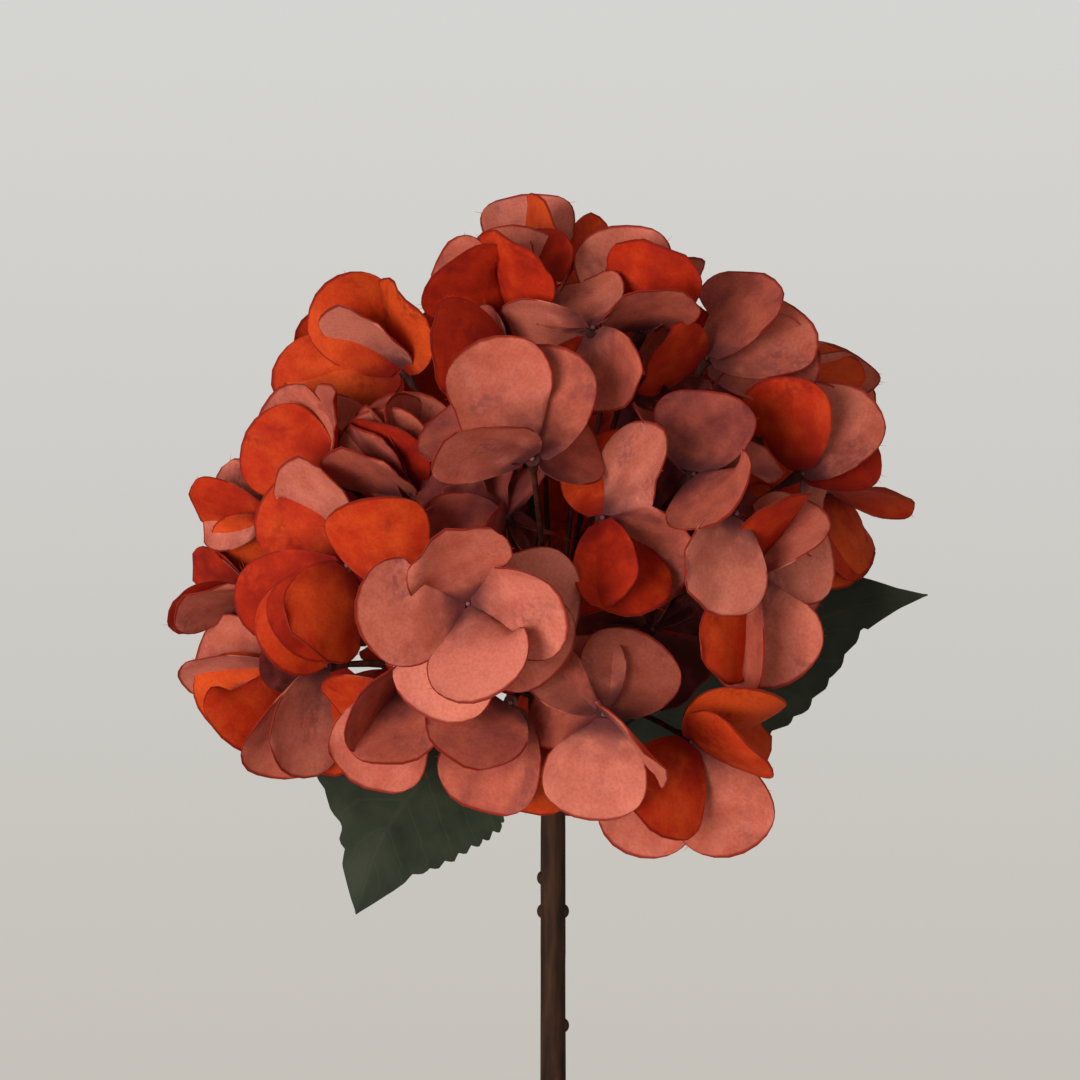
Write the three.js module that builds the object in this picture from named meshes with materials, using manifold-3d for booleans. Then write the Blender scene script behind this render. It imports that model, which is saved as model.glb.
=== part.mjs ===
// A faux mophead hydrangea on one stem, standing in a plain clear glass jar.
// Millimetres, +Z up, origin at the centre of the jar's base on the surface, -Y is the side that faces the viewer.
import * as THREE from 'three';
import Module from 'manifold-3d';

const wasm = await Module();
wasm.setup();
const { Manifold, Mesh } = wasm;

// ---- Driving dimensions ----

const DEGREES = Math.PI / 180;
const CLEARANCE = 0.3; // between solids that touch on the real thing
const DETAIL = 0.1; // seams where parts of one piece join keep no finer edges than this

const JAR = {
  height: 142, bodyRadius: 43, footRadius: 38, neckRadius: 30, lipRadius: 32, wall: 3.2, floor: 6,
  footHeight: 14, shoulderLow: 102, shoulderHigh: 124, lipHeight: 7, facets: 24,
};

const STEM = { footRadius: 3.4, topRadius: 3.0, facets: 8, steps: 14, nubRadius: 1.5, nubReach: 2.6 };
// The stem stands in the corner of the floor, leans on the back of the jar's mouth and straightens as it rises.
const STEM_ROUTE = [
  [0, -30.6, 7.7], [0, -9.7, 60], [0, 10.3, 110], [0, 22.9, 142], [0, 28.2, 172], [0, 29.8, 205], [0, 30, 240],
  [0, 30, 256],
];
const NUBS = [[204, 1], [203, -1], [212, -1], [176, 1], [118, -1], [62, 1]]; // height, side of the stem

const HEAD = { centre: [-4, 30, 300] };
const CROWN = { centre: [0, 30, 256], radius: 6.4, low: 9, high: 7, facets: 8 }; // the swelling that the wires leave
const WIRE = { radius: 0.9, facets: 4, steps: 2, bow: 0.12 };

// The boss that a floret is threaded on, with its pip. Petals of one floret join within the joint's radius.
const HUB = { radius: 2.3, back: 4.6, front: 3.2, facets: 4, joint: 4 };

const PETAL = {
  length: 24, breadth: 24, baseBreadth: 3, widest: 0.6, fullness: 1.8, thickness: 0.7, spread: 60 * DEGREES,
  curl: 35 * DEGREES, rootOut: 0.9, layerGap: 1.4, rows: [0.36, 0.7, 1], plainRows: [0.55, 1],
};

const BACK_FLORETS = { radii: [60, 62, 56], spiral: 42, open: 26, from: 10, lowest: 238, highest: 350, size: 1.12 };

// Leaf blades: route of the midrib from stalk to tip, the way across the blade, and the outline, which gives the
// breadth on either side of the midrib at shares of its length.
const LEAF = { thickness: 0.8, stalkRadius: 1.2, toothDepth: 1.4, facets: 5 };
const LEAVES = [
  {
    name: 'leaf_left', stalk: [-3.6, 28.8, 240.5], route: [[-10, 25, 246], [-19, 20, 247], [-31, 13, 239], [-42, 5, 224],
      [-47, 0, 208]],
    across: [0.93, 0, -0.36], fold: -0.12, teeth: 14, smoothTip: 0.84,
    outline: [[0, 0, 0], [0.07, 8, 8], [0.18, 18, 17], [0.3, 24, 22], [0.45, 25.5, 21.2], [0.62, 22, 18],
      [0.73, 10.5, 14.4], [0.88, 4.8, 7.2], [0.95, 2.2, 3], [1, 0, 0]],
  },
  {
    name: 'leaf_right', stalk: [3.6, 31.2, 238.5], route: [[12, 38, 245], [27, 46, 255], [50, 52, 268], [76, 50, 279],
      [96, 45, 283]],
    across: [0.1, 0.15, -1], fold: 0.15, teeth: 15, smoothTip: 0.82,
    outline: [[0, 0, 0], [0.07, 8, 8], [0.18, 16.7, 15.5], [0.32, 24.3, 22], [0.46, 27, 24.7], [0.56, 25, 22.8],
      [0.68, 19, 16.6], [0.81, 8.6, 7], [0.92, 3, 2.4], [1, 0, 0]],
  },
];

// Ways that a petal may give where it would cross a neighbour: bend and roll in degrees, and size, least change first.
const TRIALS = [];
for (const size of [1, 0.92, 0.84, 0.76, 0.66, 0.56, 0.48]) {
  for (const bend of [0, 5, -5, 10, -10, 16, -16, 24, -24]) {
    for (const roll of [0, 12, -12, 26, -26]) {
      TRIALS.push({ bend, roll, size, change: Math.abs(bend) / 8 + Math.abs(roll) / 14 + (1 - size) * 10 });
    }
  }
}
TRIALS.sort((a, b) => a.change - b.change);
const OWN_CHANGE = 2.1; // the most that a petal changes to keep apart from its own floret's petals

// ---- Florets that face the viewer, as laid out by hand ----
// Each petal: how far its tip lies to the right of the hub and above it, whether it reaches nearer the viewer or
// further off, which side of it the viewer sees, and its roll about its own length in degrees. Every petal has its
// full length, so the depth follows. The upper layer sits over the lower one. The petals of a plain floret have
// fewer rows of facets.
const NEAR = -1;
const FAR = 1;
const FACE = 1;
const BACK = -1;
const FLORETS = [
  {
    name: 'main', hub: [-19, -44, 283], size: 1.12,
    upper: [[-4, 16, NEAR, FACE, 0], [-24, -3, NEAR, FACE, 0], [5, -20, NEAR, FACE, -5],
      [19, -3, NEAR, FACE, -30]],
    lower: [[25, 1, FAR, FACE, 10], [-9, -26, FAR, FACE, 0], [21, -14, FAR, FACE, 0]],
  },
  {
    name: 'above', hub: [-5, -38, 315], size: 1.18,
    upper: [[-12, 27, FAR, FACE, 0], [13, 9, FAR, FACE, -5], [-19, 3, NEAR, FACE, 62],
      [-24, 8, FAR, FACE, -25]],
    lower: [[4, 27, FAR, FACE, 10]],
  },
  {
    name: 'lowright', hub: [11, -34, 258], size: 1.1,
    upper: [[11, 17, FAR, FACE, 15], [-15, 5, FAR, FACE, 10], [-3, -25, FAR, FACE, 8],
      [11, -9, NEAR, FACE, -72]],
    lower: [[-10, 15, FAR, FACE, 0]],
  },
  {
    name: 'centre', hub: [11, -24, 302],
    upper: [[8, 23, NEAR, FACE, 42], [17, -18, FAR, FACE, 10], [-2, 23, FAR, BACK, 30],
      [-7, -19, NEAR, BACK, -50]],
    lower: [[8, -22, NEAR, BACK, 35]],
  },
  {
    name: 'rightmid', hub: [32, -20, 312],
    upper: [[5, 20, FAR, FACE, 15], [7, -9, NEAR, FACE, 0], [18, 6, FAR, FACE, 50]],
    lower: [[-10, 17, FAR, FACE, -62]],
  },
  {
    name: 'lowfar', hub: [32, -10, 250], size: 1.1,
    upper: [[-10, -19, NEAR, BACK, 28], [18, 12, NEAR, BACK, -45], [14, -1, NEAR, BACK, -35],
      [13, -27, FAR, FACE, 0]],
    lower: [[-14, -29, FAR, FACE, 10], [20, 2, FAR, BACK, 40]],
  },
  {
    name: 'topmid', hub: [9, -16, 346],
    upper: [[-6, 12, FAR, FACE, 0], [-19, -1, FAR, FACE, 45], [8, -22, NEAR, FACE, -25]],
    lower: [[-3, -19, FAR, BACK, 25]],
  },
  {
    name: 'topleft', plain: true, hub: [-11, 0, 350],
    upper: [[2, 16, NEAR, BACK, 42], [-7, 20, FAR, FACE, 20], [-15, 10, NEAR, BACK, 30],
      [10, 22, FAR, BACK, 35]],
    lower: [[5, 23, FAR, FACE, 10], [-16, 18, FAR, FACE, 50]],
  },
  {
    name: 'topright', hub: [21, 4, 347],
    upper: [[3, 18, NEAR, BACK, 0], [-7, 26, FAR, FACE, 0], [2, 8, NEAR, FACE, 0]],
    lower: [[12, 21, FAR, FACE, 66]],
  },
  {
    name: 'crown', hub: [-4, 32, 363],
    upper: [[-4, 22, FAR, FACE, 0], [3, 14, NEAR, BACK, 62], [14, 9, FAR, BACK, 30]],
    lower: [[14, 18, FAR, BACK, 70]],
  },
  {
    name: 'lefttop', plain: true, hub: [-37, 22, 339], size: 1.1,
    upper: [[-19, 21, NEAR, BACK, 0], [-30, -3, FAR, BACK, 10], [-15, 14, NEAR, FACE, 72],
      [-6, 15, NEAR, BACK, 78]],
    lower: [[-25, 8, FAR, BACK, 20], [-34, -2, FAR, BACK, 20]],
  },
  {
    name: 'right1', hub: [45, -16, 290],
    upper: [[21, 6, FAR, FACE, 0], [10, -27, FAR, FACE, 15], [-6, -26, NEAR, BACK, 62],
      [9, 20, NEAR, BACK, -52]],
  },
  {
    name: 'right3', hub: [60, 10, 313],
    upper: [[-8, 23, NEAR, BACK, 38], [8, 22, FAR, FACE, 10], [7, -10, FAR, FACE, 55]],
    lower: [[17, 21, FAR, FACE, 25], [18, 6, FAR, BACK, 45]],
  },
  {
    name: 'right4', hub: [37, 12, 341],
    upper: [[15, 21, FAR, FACE, 50], [27, 9, FAR, FACE, 42], [-16, -3, NEAR, BACK, 50]],
    lower: [[29, 1, FAR, FACE, 42], [-16, 7, FAR, FACE, 58]],
  },
  {
    name: 'left1', hub: [-48, 0, 295],
    upper: [[-15, 21, NEAR, FACE, 55], [-23, 10, FAR, BACK, 25]],
  },
  {
    name: 'left1b', plain: true, hub: [-53, 12, 312],
    upper: [[-7, 20, FAR, FACE, 0], [-20, 13, FAR, BACK, 20], [-1, 20, NEAR, FACE, 72]],
    lower: [[-18, 21, FAR, FACE, 40]],
  },
  {
    name: 'left4', hub: [-48, -14, 291],
    upper: [[-6, -20, NEAR, BACK, 48], [-25, -14, FAR, BACK, 42]],
  },
  {
    name: 'left3', hub: [-36, -26, 286],
    upper: [[-7, 20, NEAR, BACK, 20]],
    lower: [[7, -15, FAR, FACE, 20]],
  },
  {
    name: 'lowleft1', plain: true, hub: [-68, 22, 265],
    upper: [[-22, 2, FAR, FACE, 0], [-9, -18, NEAR, BACK, 20]],
    lower: [[-26, -4, FAR, FACE, 66], [-20, -13, FAR, BACK, 20]],
  },
  {
    name: 'lowleft2', plain: true, hub: [-54, 2, 267],
    upper: [[-8, -26, NEAR, FACE, 50]],
    lower: [[-19, -27, FAR, FACE, 45], [0, -27, FAR, BACK, 20]],
  },
  {
    name: 'lowleft3', plain: true, hub: [-36, -18, 262],
    upper: [[2, -15, NEAR, FACE, 0], [-9, -2, NEAR, FACE, 48]],
    lower: [[-9, -23, FAR, FACE, 5], [-15, -7, FAR, BACK, 40]],
  },
  {
    name: 'lowmid', plain: true, hub: [-10, -24, 260],
    upper: [[-14, -13, NEAR, FACE, -15]],
    lower: [[-8, -26, FAR, FACE, 0]],
  },
  {
    name: 'left2', plain: true, hub: [-70, 25, 303],
    upper: [[-18, 4, FAR, FACE, 0]],
    lower: [[-22, 2, FAR, BACK, 60], [-8, 12, FAR, BACK, 30], [-10, -14, FAR, BACK, 25]],
  },
  {
    name: 'left5', plain: true, hub: [-74, 32, 282],
    upper: [[-18, 5, FAR, BACK, 56], [-15, -1, NEAR, FACE, 70], [-17, -10, NEAR, BACK, 48]],
    lower: [[-12, 10, FAR, FACE, 72]],
  },
  {
    name: 'right2', plain: true, hub: [41, -30, 303],
    upper: [[-7, -22, NEAR, FACE, 42]],
    lower: [[-7, -6, FAR, FACE, 70]],
  },
  {
    name: 'right5', plain: true, hub: [69, 38, 309],
    upper: [[22, 0, FAR, BACK, 78], [6, -24, FAR, BACK, 38]],
  },
  {
    name: 'right6', plain: true, hub: [63, 44, 333],
    upper: [[17, 12, FAR, FACE, 42], [21, 2, FAR, FACE, 20]],
    lower: [[13, 15, FAR, BACK, 40]],
  },
  {
    name: 'leftblade', plain: true, hub: [-35, 4, 307],
    upper: [[-10, 22, NEAR, FACE, 76], [-14, 13, NEAR, FACE, 66], [-1, 26, FAR, FACE, 10],
      [-8, 18, NEAR, BACK, 60]],
  },
  {
    name: 'pocket', plain: true, hub: [-11, -12, 302],
    upper: [[-21, 7, FAR, FACE, 12], [5, 15, FAR, FACE, 60], [10, -16, FAR, FACE, 76],
      [-8, -13, NEAR, FACE, 72]],
  },
  {
    name: 'lowback', plain: true, hub: [-1, -16, 250],
    upper: [[-6, -18, FAR, BACK, 20]],
  },
  {
    name: 'topleftlow', plain: true, hub: [-11, -12, 342],
    upper: [[-17, -2, NEAR, BACK, 10], [-15, 11, FAR, FACE, 40]],
  },
  {
    name: 'fill1', plain: true, hub: [23, -6, 276],
    upper: [[12, -15, FAR, FACE, 20], [-2, 16, FAR, FACE, 20], [14, 6, FAR, FACE, 20],
      [-14, -1, FAR, FACE, 20]],
  },
  {
    name: 'fill2', plain: true, hub: [-62, 16, 280],
    upper: [[-11, 16, FAR, FACE, 20], [16, 2, FAR, FACE, 20], [-1, -21, FAR, FACE, 20]],
  },
  {
    name: 'fill3', plain: true, hub: [33, 6, 326],
    upper: [[1, 19, FAR, FACE, 20], [18, 1, FAR, FACE, 20], [-16, 1, FAR, FACE, 20],
      [-4, -19, FAR, FACE, 20]],
  },
  {
    name: 'fill4', plain: true, hub: [40, 8, 302],
    upper: [[-4, -17, FAR, FACE, 20], [12, 10, FAR, FACE, 20], [-13, -3, FAR, FACE, 20]],
  },
  {
    name: 'fill5', plain: true, hub: [-37, 6, 292],
    upper: [[7, -20, FAR, FACE, 20], [-16, -7, FAR, FACE, 20], [-8, 15, FAR, FACE, 20],
      [9, 15, FAR, FACE, 20]],
  },
];

// ---- Geometry helpers ----

const UP = new THREE.Vector3(0, 0, 1);
const TO_VIEWER = new THREE.Vector3(0, -1, 0);

function vector([x, y, z]) {
  return new THREE.Vector3(x, y, z);
}

function weighted(...pairs) {
  const sum = new THREE.Vector3();
  for (const [direction, amount] of pairs) sum.addScaledVector(direction, amount);
  return sum;
}

// A repeatable random sequence, one for each floret.
function randomFrom(seed) {
  let state = seed * 7919 + 104729;
  const next = () => {
    state = (state * 1664525 + 1013904223) % 4294967296;
    return state / 4294967296;
  };
  for (let i = 0; i < 3; i += 1) next();
  return next;
}

function solidFrom(points, triangles) {
  const mesh = new Mesh({
    numProp: 3,
    vertProperties: new Float32Array(points.flatMap((p) => [p.x, p.y, p.z])),
    triVerts: new Uint32Array(triangles.flat()),
  });
  mesh.merge();
  return new Manifold(mesh);
}

// Joins two skins of the same layout along their shared rim, which runs round the first skin's outward side.
function closeSkins(front, back, triangles, rim) {
  const count = front.length;
  const all = [...triangles, ...triangles.map(([a, b, c]) => [a + count, c + count, b + count])];
  rim.forEach((from, i) => {
    const to = rim[(i + 1) % rim.length];
    all.push([to, from, from + count], [to, from + count, to + count]);
  });
  return solidFrom([...front, ...back], all);
}

// A tube of given radii through a list of centres, with flat ends.
function tube(centres, radii, facets) {
  const points = [];
  const triangles = [];
  const last = centres.length - 1;
  let side = new THREE.Vector3(1, 0, 0);
  centres.forEach((centre, i) => {
    const along = weighted([centres[Math.min(i + 1, last)], 1], [centres[Math.max(i - 1, 0)], -1]).normalize();
    if (i === 0 && Math.abs(along.x) > 0.9) side = new THREE.Vector3(0, 1, 0);
    side = side.clone().addScaledVector(along, -side.dot(along)).normalize();
    const other = along.clone().cross(side);
    for (let k = 0; k < facets; k += 1) {
      const angle = (2 * Math.PI * k) / facets;
      points.push(weighted([centre, 1], [side, radii[i] * Math.cos(angle)], [other, radii[i] * Math.sin(angle)]));
    }
  });
  for (let i = 0; i < last; i += 1) {
    for (let k = 0; k < facets; k += 1) {
      const a = i * facets + k;
      const b = i * facets + ((k + 1) % facets);
      triangles.push([a, b, b + facets], [a, b + facets, a + facets]);
    }
  }
  for (let k = 1; k < facets - 1; k += 1) {
    triangles.push([0, k + 1, k], [last * facets, last * facets + k, last * facets + k + 1]);
  }
  return solidFrom(points, triangles);
}

// A closed shape turned from a profile of [radius, height] pairs that starts and ends on the axis.
function turned(profile, facets, place, axis) {
  const turn = new THREE.Quaternion().setFromUnitVectors(UP, axis);
  const point = (radius, height, angle) => new THREE.Vector3(
    radius * Math.cos(angle), radius * Math.sin(angle), height,
  ).applyQuaternion(turn).add(place);
  const points = [point(0, profile[0][1], 0)];
  const rings = profile.slice(1, -1);
  for (const [radius, height] of rings) {
    for (let k = 0; k < facets; k += 1) points.push(point(radius, height, (2 * Math.PI * k) / facets));
  }
  points.push(point(0, profile[profile.length - 1][1], 0));
  const top = points.length - 1;
  const triangles = [];
  for (let k = 0; k < facets; k += 1) {
    const next = (k + 1) % facets;
    triangles.push([0, 1 + next, 1 + k]);
    for (let i = 0; i < rings.length - 1; i += 1) {
      const a = 1 + i * facets + k;
      const b = 1 + i * facets + next;
      triangles.push([a, b, b + facets], [a, b + facets, a + facets]);
    }
    triangles.push([top, 1 + (rings.length - 1) * facets + k, 1 + (rings.length - 1) * facets + next]);
  }
  return solidFrom(points, triangles);
}

// ---- Petals ----

// Half the petal's breadth at a share of its length, as a share of the full breadth.
function halfBreadth(share) {
  const base = PETAL.baseBreadth / PETAL.breadth / 2;
  if (share < PETAL.widest) {
    return base + (0.5 - base) * Math.sin((Math.PI * share) / (2 * PETAL.widest)) ** PETAL.fullness;
  }
  return 0.5 * Math.sqrt(Math.max(0, 1 - ((share - PETAL.widest) / (1 - PETAL.widest)) ** 2));
}

// A petal's own way of lying: along its length, towards its face and across it.
function petalLie(tipOffset, side, roll) {
  const along = tipOffset.clone().normalize();
  const flat = TO_VIEWER.clone().addScaledVector(along, -TO_VIEWER.dot(along)).normalize().multiplyScalar(side);
  const across = flat.clone().cross(along);
  const facing = weighted([flat, Math.cos(roll)], [across, Math.sin(roll)]);
  return { along, facing };
}

// The petal as it gives way by one trial: bent towards its face, rolled about its length and made smaller.
function given(petal, trial) {
  const bend = trial.bend * DEGREES;
  const roll = trial.roll * DEGREES;
  const along = weighted([petal.along, Math.cos(bend)], [petal.facing, Math.sin(bend)]);
  const facing = weighted([petal.facing, Math.cos(bend)], [petal.along, -Math.sin(bend)]);
  const across = facing.clone().cross(along);
  const rolled = weighted([facing, Math.cos(roll)], [across, Math.sin(roll)]);
  return {
    ...petal, along, facing: rolled, length: petal.length * trial.size, breadth: petal.breadth * trial.size,
  };
}

// A point of the petal's middle surface, row 0 at the root to 1 at the tip and column -1 to 1, lifted off it.
function petalPoint(petal, row, column, lift) {
  const nearest = Math.cos(PETAL.spread);
  const sideShare = (PETAL.widest + (1 - PETAL.widest) * nearest) * row;
  const share = sideShare + ((row - sideShare) * (Math.cos(PETAL.spread * column) - nearest)) / (1 - nearest);
  const out = (petal.breadth * halfBreadth(sideShare) * Math.sin(PETAL.spread * column)) / Math.sin(PETAL.spread);
  const start = -petal.curl / 2;
  const angle = start + petal.curl * share;
  const run = (petal.length * (Math.sin(angle) - Math.sin(start))) / petal.curl;
  const rise = (petal.length * (Math.cos(start) - Math.cos(angle))) / petal.curl;
  const across = petal.facing.clone().cross(petal.along);
  const normal = weighted([petal.facing, Math.cos(angle)], [petal.along, -Math.sin(angle)]);
  const sideways = weighted([across, Math.cos(petal.twist)], [normal, Math.sin(petal.twist)]);
  const raised = weighted([normal, Math.cos(petal.twist)], [across, -Math.sin(petal.twist)]);
  const cupped = (petal.cup * out * out) / (petal.breadth / 2);
  return weighted(
    [petal.root, 1], [petal.along, run], [petal.facing, rise], [sideways, out], [raised, cupped + lift],
  );
}

// A blade's skin runs from one point at its root through rows of three: left, middle, right.
function bladeTriangles(rows) {
  const triangles = [[0, 1, 2], [0, 2, 3]];
  for (let a = 1; a < 3 * rows - 2; a += 3) {
    triangles.push([a, a + 3, a + 4], [a, a + 4, a + 1], [a + 1, a + 4, a + 5], [a + 1, a + 5, a + 2]);
  }
  return triangles;
}

function petalSolid(petal) {
  const rows = petal.rows.length;
  const skin = (lift) => [
    petalPoint(petal, 0, 0, lift),
    ...petal.rows.flatMap((row) => [-1, 0, 1].map((column) => petalPoint(petal, row, column, lift))),
  ];
  const left = petal.rows.map((_, i) => 1 + 3 * i);
  const right = petal.rows.map((_, i) => 3 + 3 * i).reverse();
  const rim = [0, ...left, 3 * rows - 1, ...right];
  return closeSkins(skin(PETAL.thickness / 2), skin(-PETAL.thickness / 2), bladeTriangles(rows), rim);
}

// The small differences between one petal and the next.
function petalTraits(random, size) {
  const length = PETAL.length * size * (0.97 + 0.08 * random());
  const curl = PETAL.curl * (random() - 0.35) + 0.001;
  const cup = 0.1 + 0.22 * random();
  const twist = (4 + 8 * random()) * DEGREES;
  return { length, breadth: PETAL.breadth, curl, cup, twist };
}

// A petal laid out by hand: its tip's place in the view fixes how far it reaches towards the viewer or away.
function laidPetal(hub, [right, up, reach, side, roll], layer, random, size, plain) {
  const traits = petalTraits(random, size);
  const seen = Math.hypot(right, up);
  const length = Math.max(traits.length, seen * 1.02);
  const depth = reach * Math.sqrt(Math.max(0, length * length - seen * seen));
  const lie = petalLie(new THREE.Vector3(right, depth, up), side, roll * DEGREES);
  const drop = layer === 'lower' ? -PETAL.layerGap : 0;
  const root = weighted([hub, 1], [wireOf(hub).arrival, drop], [lie.along, PETAL.rootOut]);
  const rows = layer === 'upper' && !plain ? PETAL.rows : PETAL.plainRows;
  return { ...traits, ...lie, length: length - PETAL.rootOut, root, rows };
}

// A petal of a floret at the back, opened out evenly round the floret's axis.
function openPetal(hub, axis, azimuth, open, random) {
  const traits = petalTraits(random, BACK_FLORETS.size);
  const sideways = axis.clone().cross(UP).normalize();
  const upwards = sideways.clone().cross(axis);
  const outwards = weighted([upwards, Math.cos(azimuth)], [sideways, Math.sin(azimuth)]);
  const along = weighted([outwards, Math.cos(open)], [axis, Math.sin(open)]);
  const facing = weighted([axis, Math.cos(open)], [outwards, -Math.sin(open)]);
  const root = weighted([hub, 1], [along, PETAL.rootOut]);
  return { ...traits, along, facing, root, rows: PETAL.plainRows };
}

// ---- Florets at the back, on a spiral round the head ----

function backFlorets() {
  const florets = [];
  for (let i = 0; i < BACK_FLORETS.spiral; i += 1) {
    const height = 1 - (2 * (i + 0.5)) / BACK_FLORETS.spiral;
    const angle = i * 137.5 * DEGREES;
    const ring = Math.sqrt(1 - height * height);
    const direction = new THREE.Vector3(ring * Math.cos(angle), ring * Math.sin(angle), height);
    const hub = direction.clone().multiply(vector(BACK_FLORETS.radii)).add(vector(HEAD.centre));
    const behind = hub.y - HEAD.centre[1];
    if (behind > BACK_FLORETS.from && hub.z > BACK_FLORETS.lowest && hub.z < BACK_FLORETS.highest) {
      florets.push({ name: `back${florets.length + 1}`, hub: hub.toArray(), axis: direction });
    }
  }
  return florets;
}

function petalsOf(floret, number) {
  const random = randomFrom(number);
  const hub = vector(floret.hub);
  if (!floret.axis) {
    const size = floret.size ?? 1;
    return ['upper', 'lower'].flatMap((layer) => (
      (floret[layer] ?? []).map((place) => laidPetal(hub, place, layer, random, size, floret.plain))
    ));
  }
  const turn = random() * 90;
  return [0, 1, 2, 3].map((k) => {
    const azimuth = (turn + 90 * k + 20 * (random() - 0.5)) * DEGREES;
    const open = (BACK_FLORETS.open + 30 * (random() - 0.5)) * DEGREES;
    return openPetal(hub, floret.axis, azimuth, open, random);
  });
}

// ---- Jar, stem and leaves ----

function jar() {
  const { height, bodyRadius, footRadius, neckRadius, lipRadius, wall, floor } = JAR;
  const mouth = neckRadius - wall;
  const profile = [
    [0, 0], [footRadius - 3, 0], [footRadius, 2.5], [bodyRadius, JAR.footHeight], [bodyRadius, JAR.shoulderLow],
    [bodyRadius - 3, JAR.shoulderLow + 8], [neckRadius + 3, JAR.shoulderHigh - 5], [neckRadius, JAR.shoulderHigh],
    [neckRadius, height - JAR.lipHeight], [lipRadius, height - JAR.lipHeight + 1.5], [lipRadius, height - 1.5],
    [lipRadius - 1.5, height], [mouth + 0.8, height], [mouth, height - 1.5],
    [mouth, JAR.shoulderHigh], [mouth + 3, JAR.shoulderHigh - 6], [bodyRadius - wall - 3, JAR.shoulderLow + 6],
    [bodyRadius - wall, JAR.shoulderLow - 2], [bodyRadius - wall, JAR.footHeight + 1],
    [footRadius - wall, floor + 1.5], [footRadius - wall - 1.5, floor], [0, floor],
  ];
  return turned(profile, JAR.facets, new THREE.Vector3(), UP);
}

// Where a floret's wire bends over, and the way it arrives at the hub.
function wireOf(hub) {
  const centre = vector(CROWN.centre);
  const reach = centre.distanceTo(hub);
  const bend = weighted([centre, 0.5], [hub, 0.5], [UP, WIRE.bow * reach]);
  const start = weighted([centre, 1], [bend.clone().sub(centre).normalize(), CROWN.radius - 1.4]);
  const arrival = hub.clone().sub(bend).normalize();
  const end = hub.clone().addScaledVector(arrival, -(HUB.back + CLEARANCE));
  return { start, bend, arrival, end };
}

function wire(hub) {
  const { start, bend, end } = wireOf(hub);
  const centres = new THREE.QuadraticBezierCurve3(start, bend, end).getPoints(WIRE.steps);
  return tube(centres, centres.map(() => WIRE.radius), WIRE.facets);
}

function stem(hubs) {
  const route = new THREE.CatmullRomCurve3(STEM_ROUTE.map(vector)).getPoints(STEM.steps);
  const radii = route.map((_, i) => THREE.MathUtils.lerp(STEM.footRadius, STEM.topRadius, i / STEM.steps));
  const { radius, low, high } = CROWN;
  const crown = [[0, -low], [radius / 2, -low * 0.85], [radius, -1], [radius * 0.8, high * 0.6], [0, high]];
  const parts = [
    tube(route, radii, STEM.facets),
    turned(crown, CROWN.facets, vector(CROWN.centre), UP),
    ...hubs.map(wire),
  ];
  const curve = new THREE.CatmullRomCurve3(STEM_ROUTE.map(vector));
  for (const [height, side] of NUBS) {
    const at = curve.getPoints(200).reduce((a, b) => (Math.abs(b.z - height) < Math.abs(a.z - height) ? b : a));
    const nub = new THREE.Vector3(side * STEM.nubReach, 0, 0).add(at);
    const half = STEM.nubRadius;
    parts.push(turned([[0, -half * 1.4], [half, 0], [half * 0.8, half * 0.7], [0, half * 1.1]], 6, nub, UP));
  }
  return Manifold.union(parts);
}

// The breadth of a leaf on one side of its midrib.
function outlineAt(outline, share, side) {
  const column = side < 0 ? 1 : 2;
  const next = Math.max(1, outline.findIndex(([s]) => s >= share));
  const part = (share - outline[next - 1][0]) / (outline[next][0] - outline[next - 1][0]);
  return THREE.MathUtils.lerp(outline[next - 1][column], outline[next][column], part);
}

// A serrated blade, folded a little along its midrib, on a short stalk.
function leaf(shape) {
  const midrib = new THREE.CatmullRomCurve3(shape.route.map(vector));
  const shares = [];
  for (let k = 0; k < shape.teeth; k += 1) {
    if (k > 0) shares.push([k / shape.teeth, false]);
    shares.push([(k + 0.75) / shape.teeth, true]);
  }
  const skin = (lift) => {
    const points = [midrib.getPointAt(0)];
    for (const [share, tooth] of shares) {
      const along = midrib.getTangentAt(share);
      const across = vector(shape.across);
      across.addScaledVector(along, -across.dot(along)).normalize();
      const normal = along.clone().cross(across);
      const depth = tooth || share > shape.smoothTip ? 0 : LEAF.toothDepth;
      const centre = midrib.getPointAt(share);
      for (const side of [-1, 0, 1]) {
        const half = Math.max(1, outlineAt(shape.outline, share, side) - depth);
        points.push(weighted([centre, 1], [across, side * half], [normal, Math.abs(side) * half * shape.fold + lift]));
      }
    }
    points.push(midrib.getPointAt(1));
    if (lift) {
      const along = midrib.getTangentAt(1);
      const normal = along.clone().cross(vector(shape.across)).normalize();
      points[0].addScaledVector(normal, lift);
      points[points.length - 1].addScaledVector(normal, lift);
    }
    return points;
  };
  const rows = shares.length;
  const triangles = bladeTriangles(rows);
  const tip = 1 + 3 * rows;
  triangles.push([tip - 3, tip, tip - 2], [tip - 2, tip, tip - 1]);
  const left = shares.map((_, i) => 1 + 3 * i);
  const right = shares.map((_, i) => 3 + 3 * i).reverse();
  const blade = closeSkins(
    skin(LEAF.thickness / 2), skin(-LEAF.thickness / 2), triangles, [0, ...left, tip, ...right],
  );
  const stalkEnd = midrib.getPointAt(0.12);
  const stalk = [vector(shape.stalk), midrib.getPointAt(0), stalkEnd];
  return Manifold.union([blade, tube(stalk, [1.1, 1, 0.7].map((r) => r * LEAF.stalkRadius), LEAF.facets)]);
}

// ---- Bringing the florets together ----

function hubSolid(hub) {
  const { radius, back, front, facets } = HUB;
  const profile = [[0, -back], [radius * 0.5, -back], [radius, 0], [radius * 0.6, front], [0, front]];
  return turned(profile, facets, hub, wireOf(hub).arrival);
}

function near(a, b) {
  return a.middle.distanceTo(b.middle) < a.reach + b.reach + CLEARANCE;
}

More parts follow.
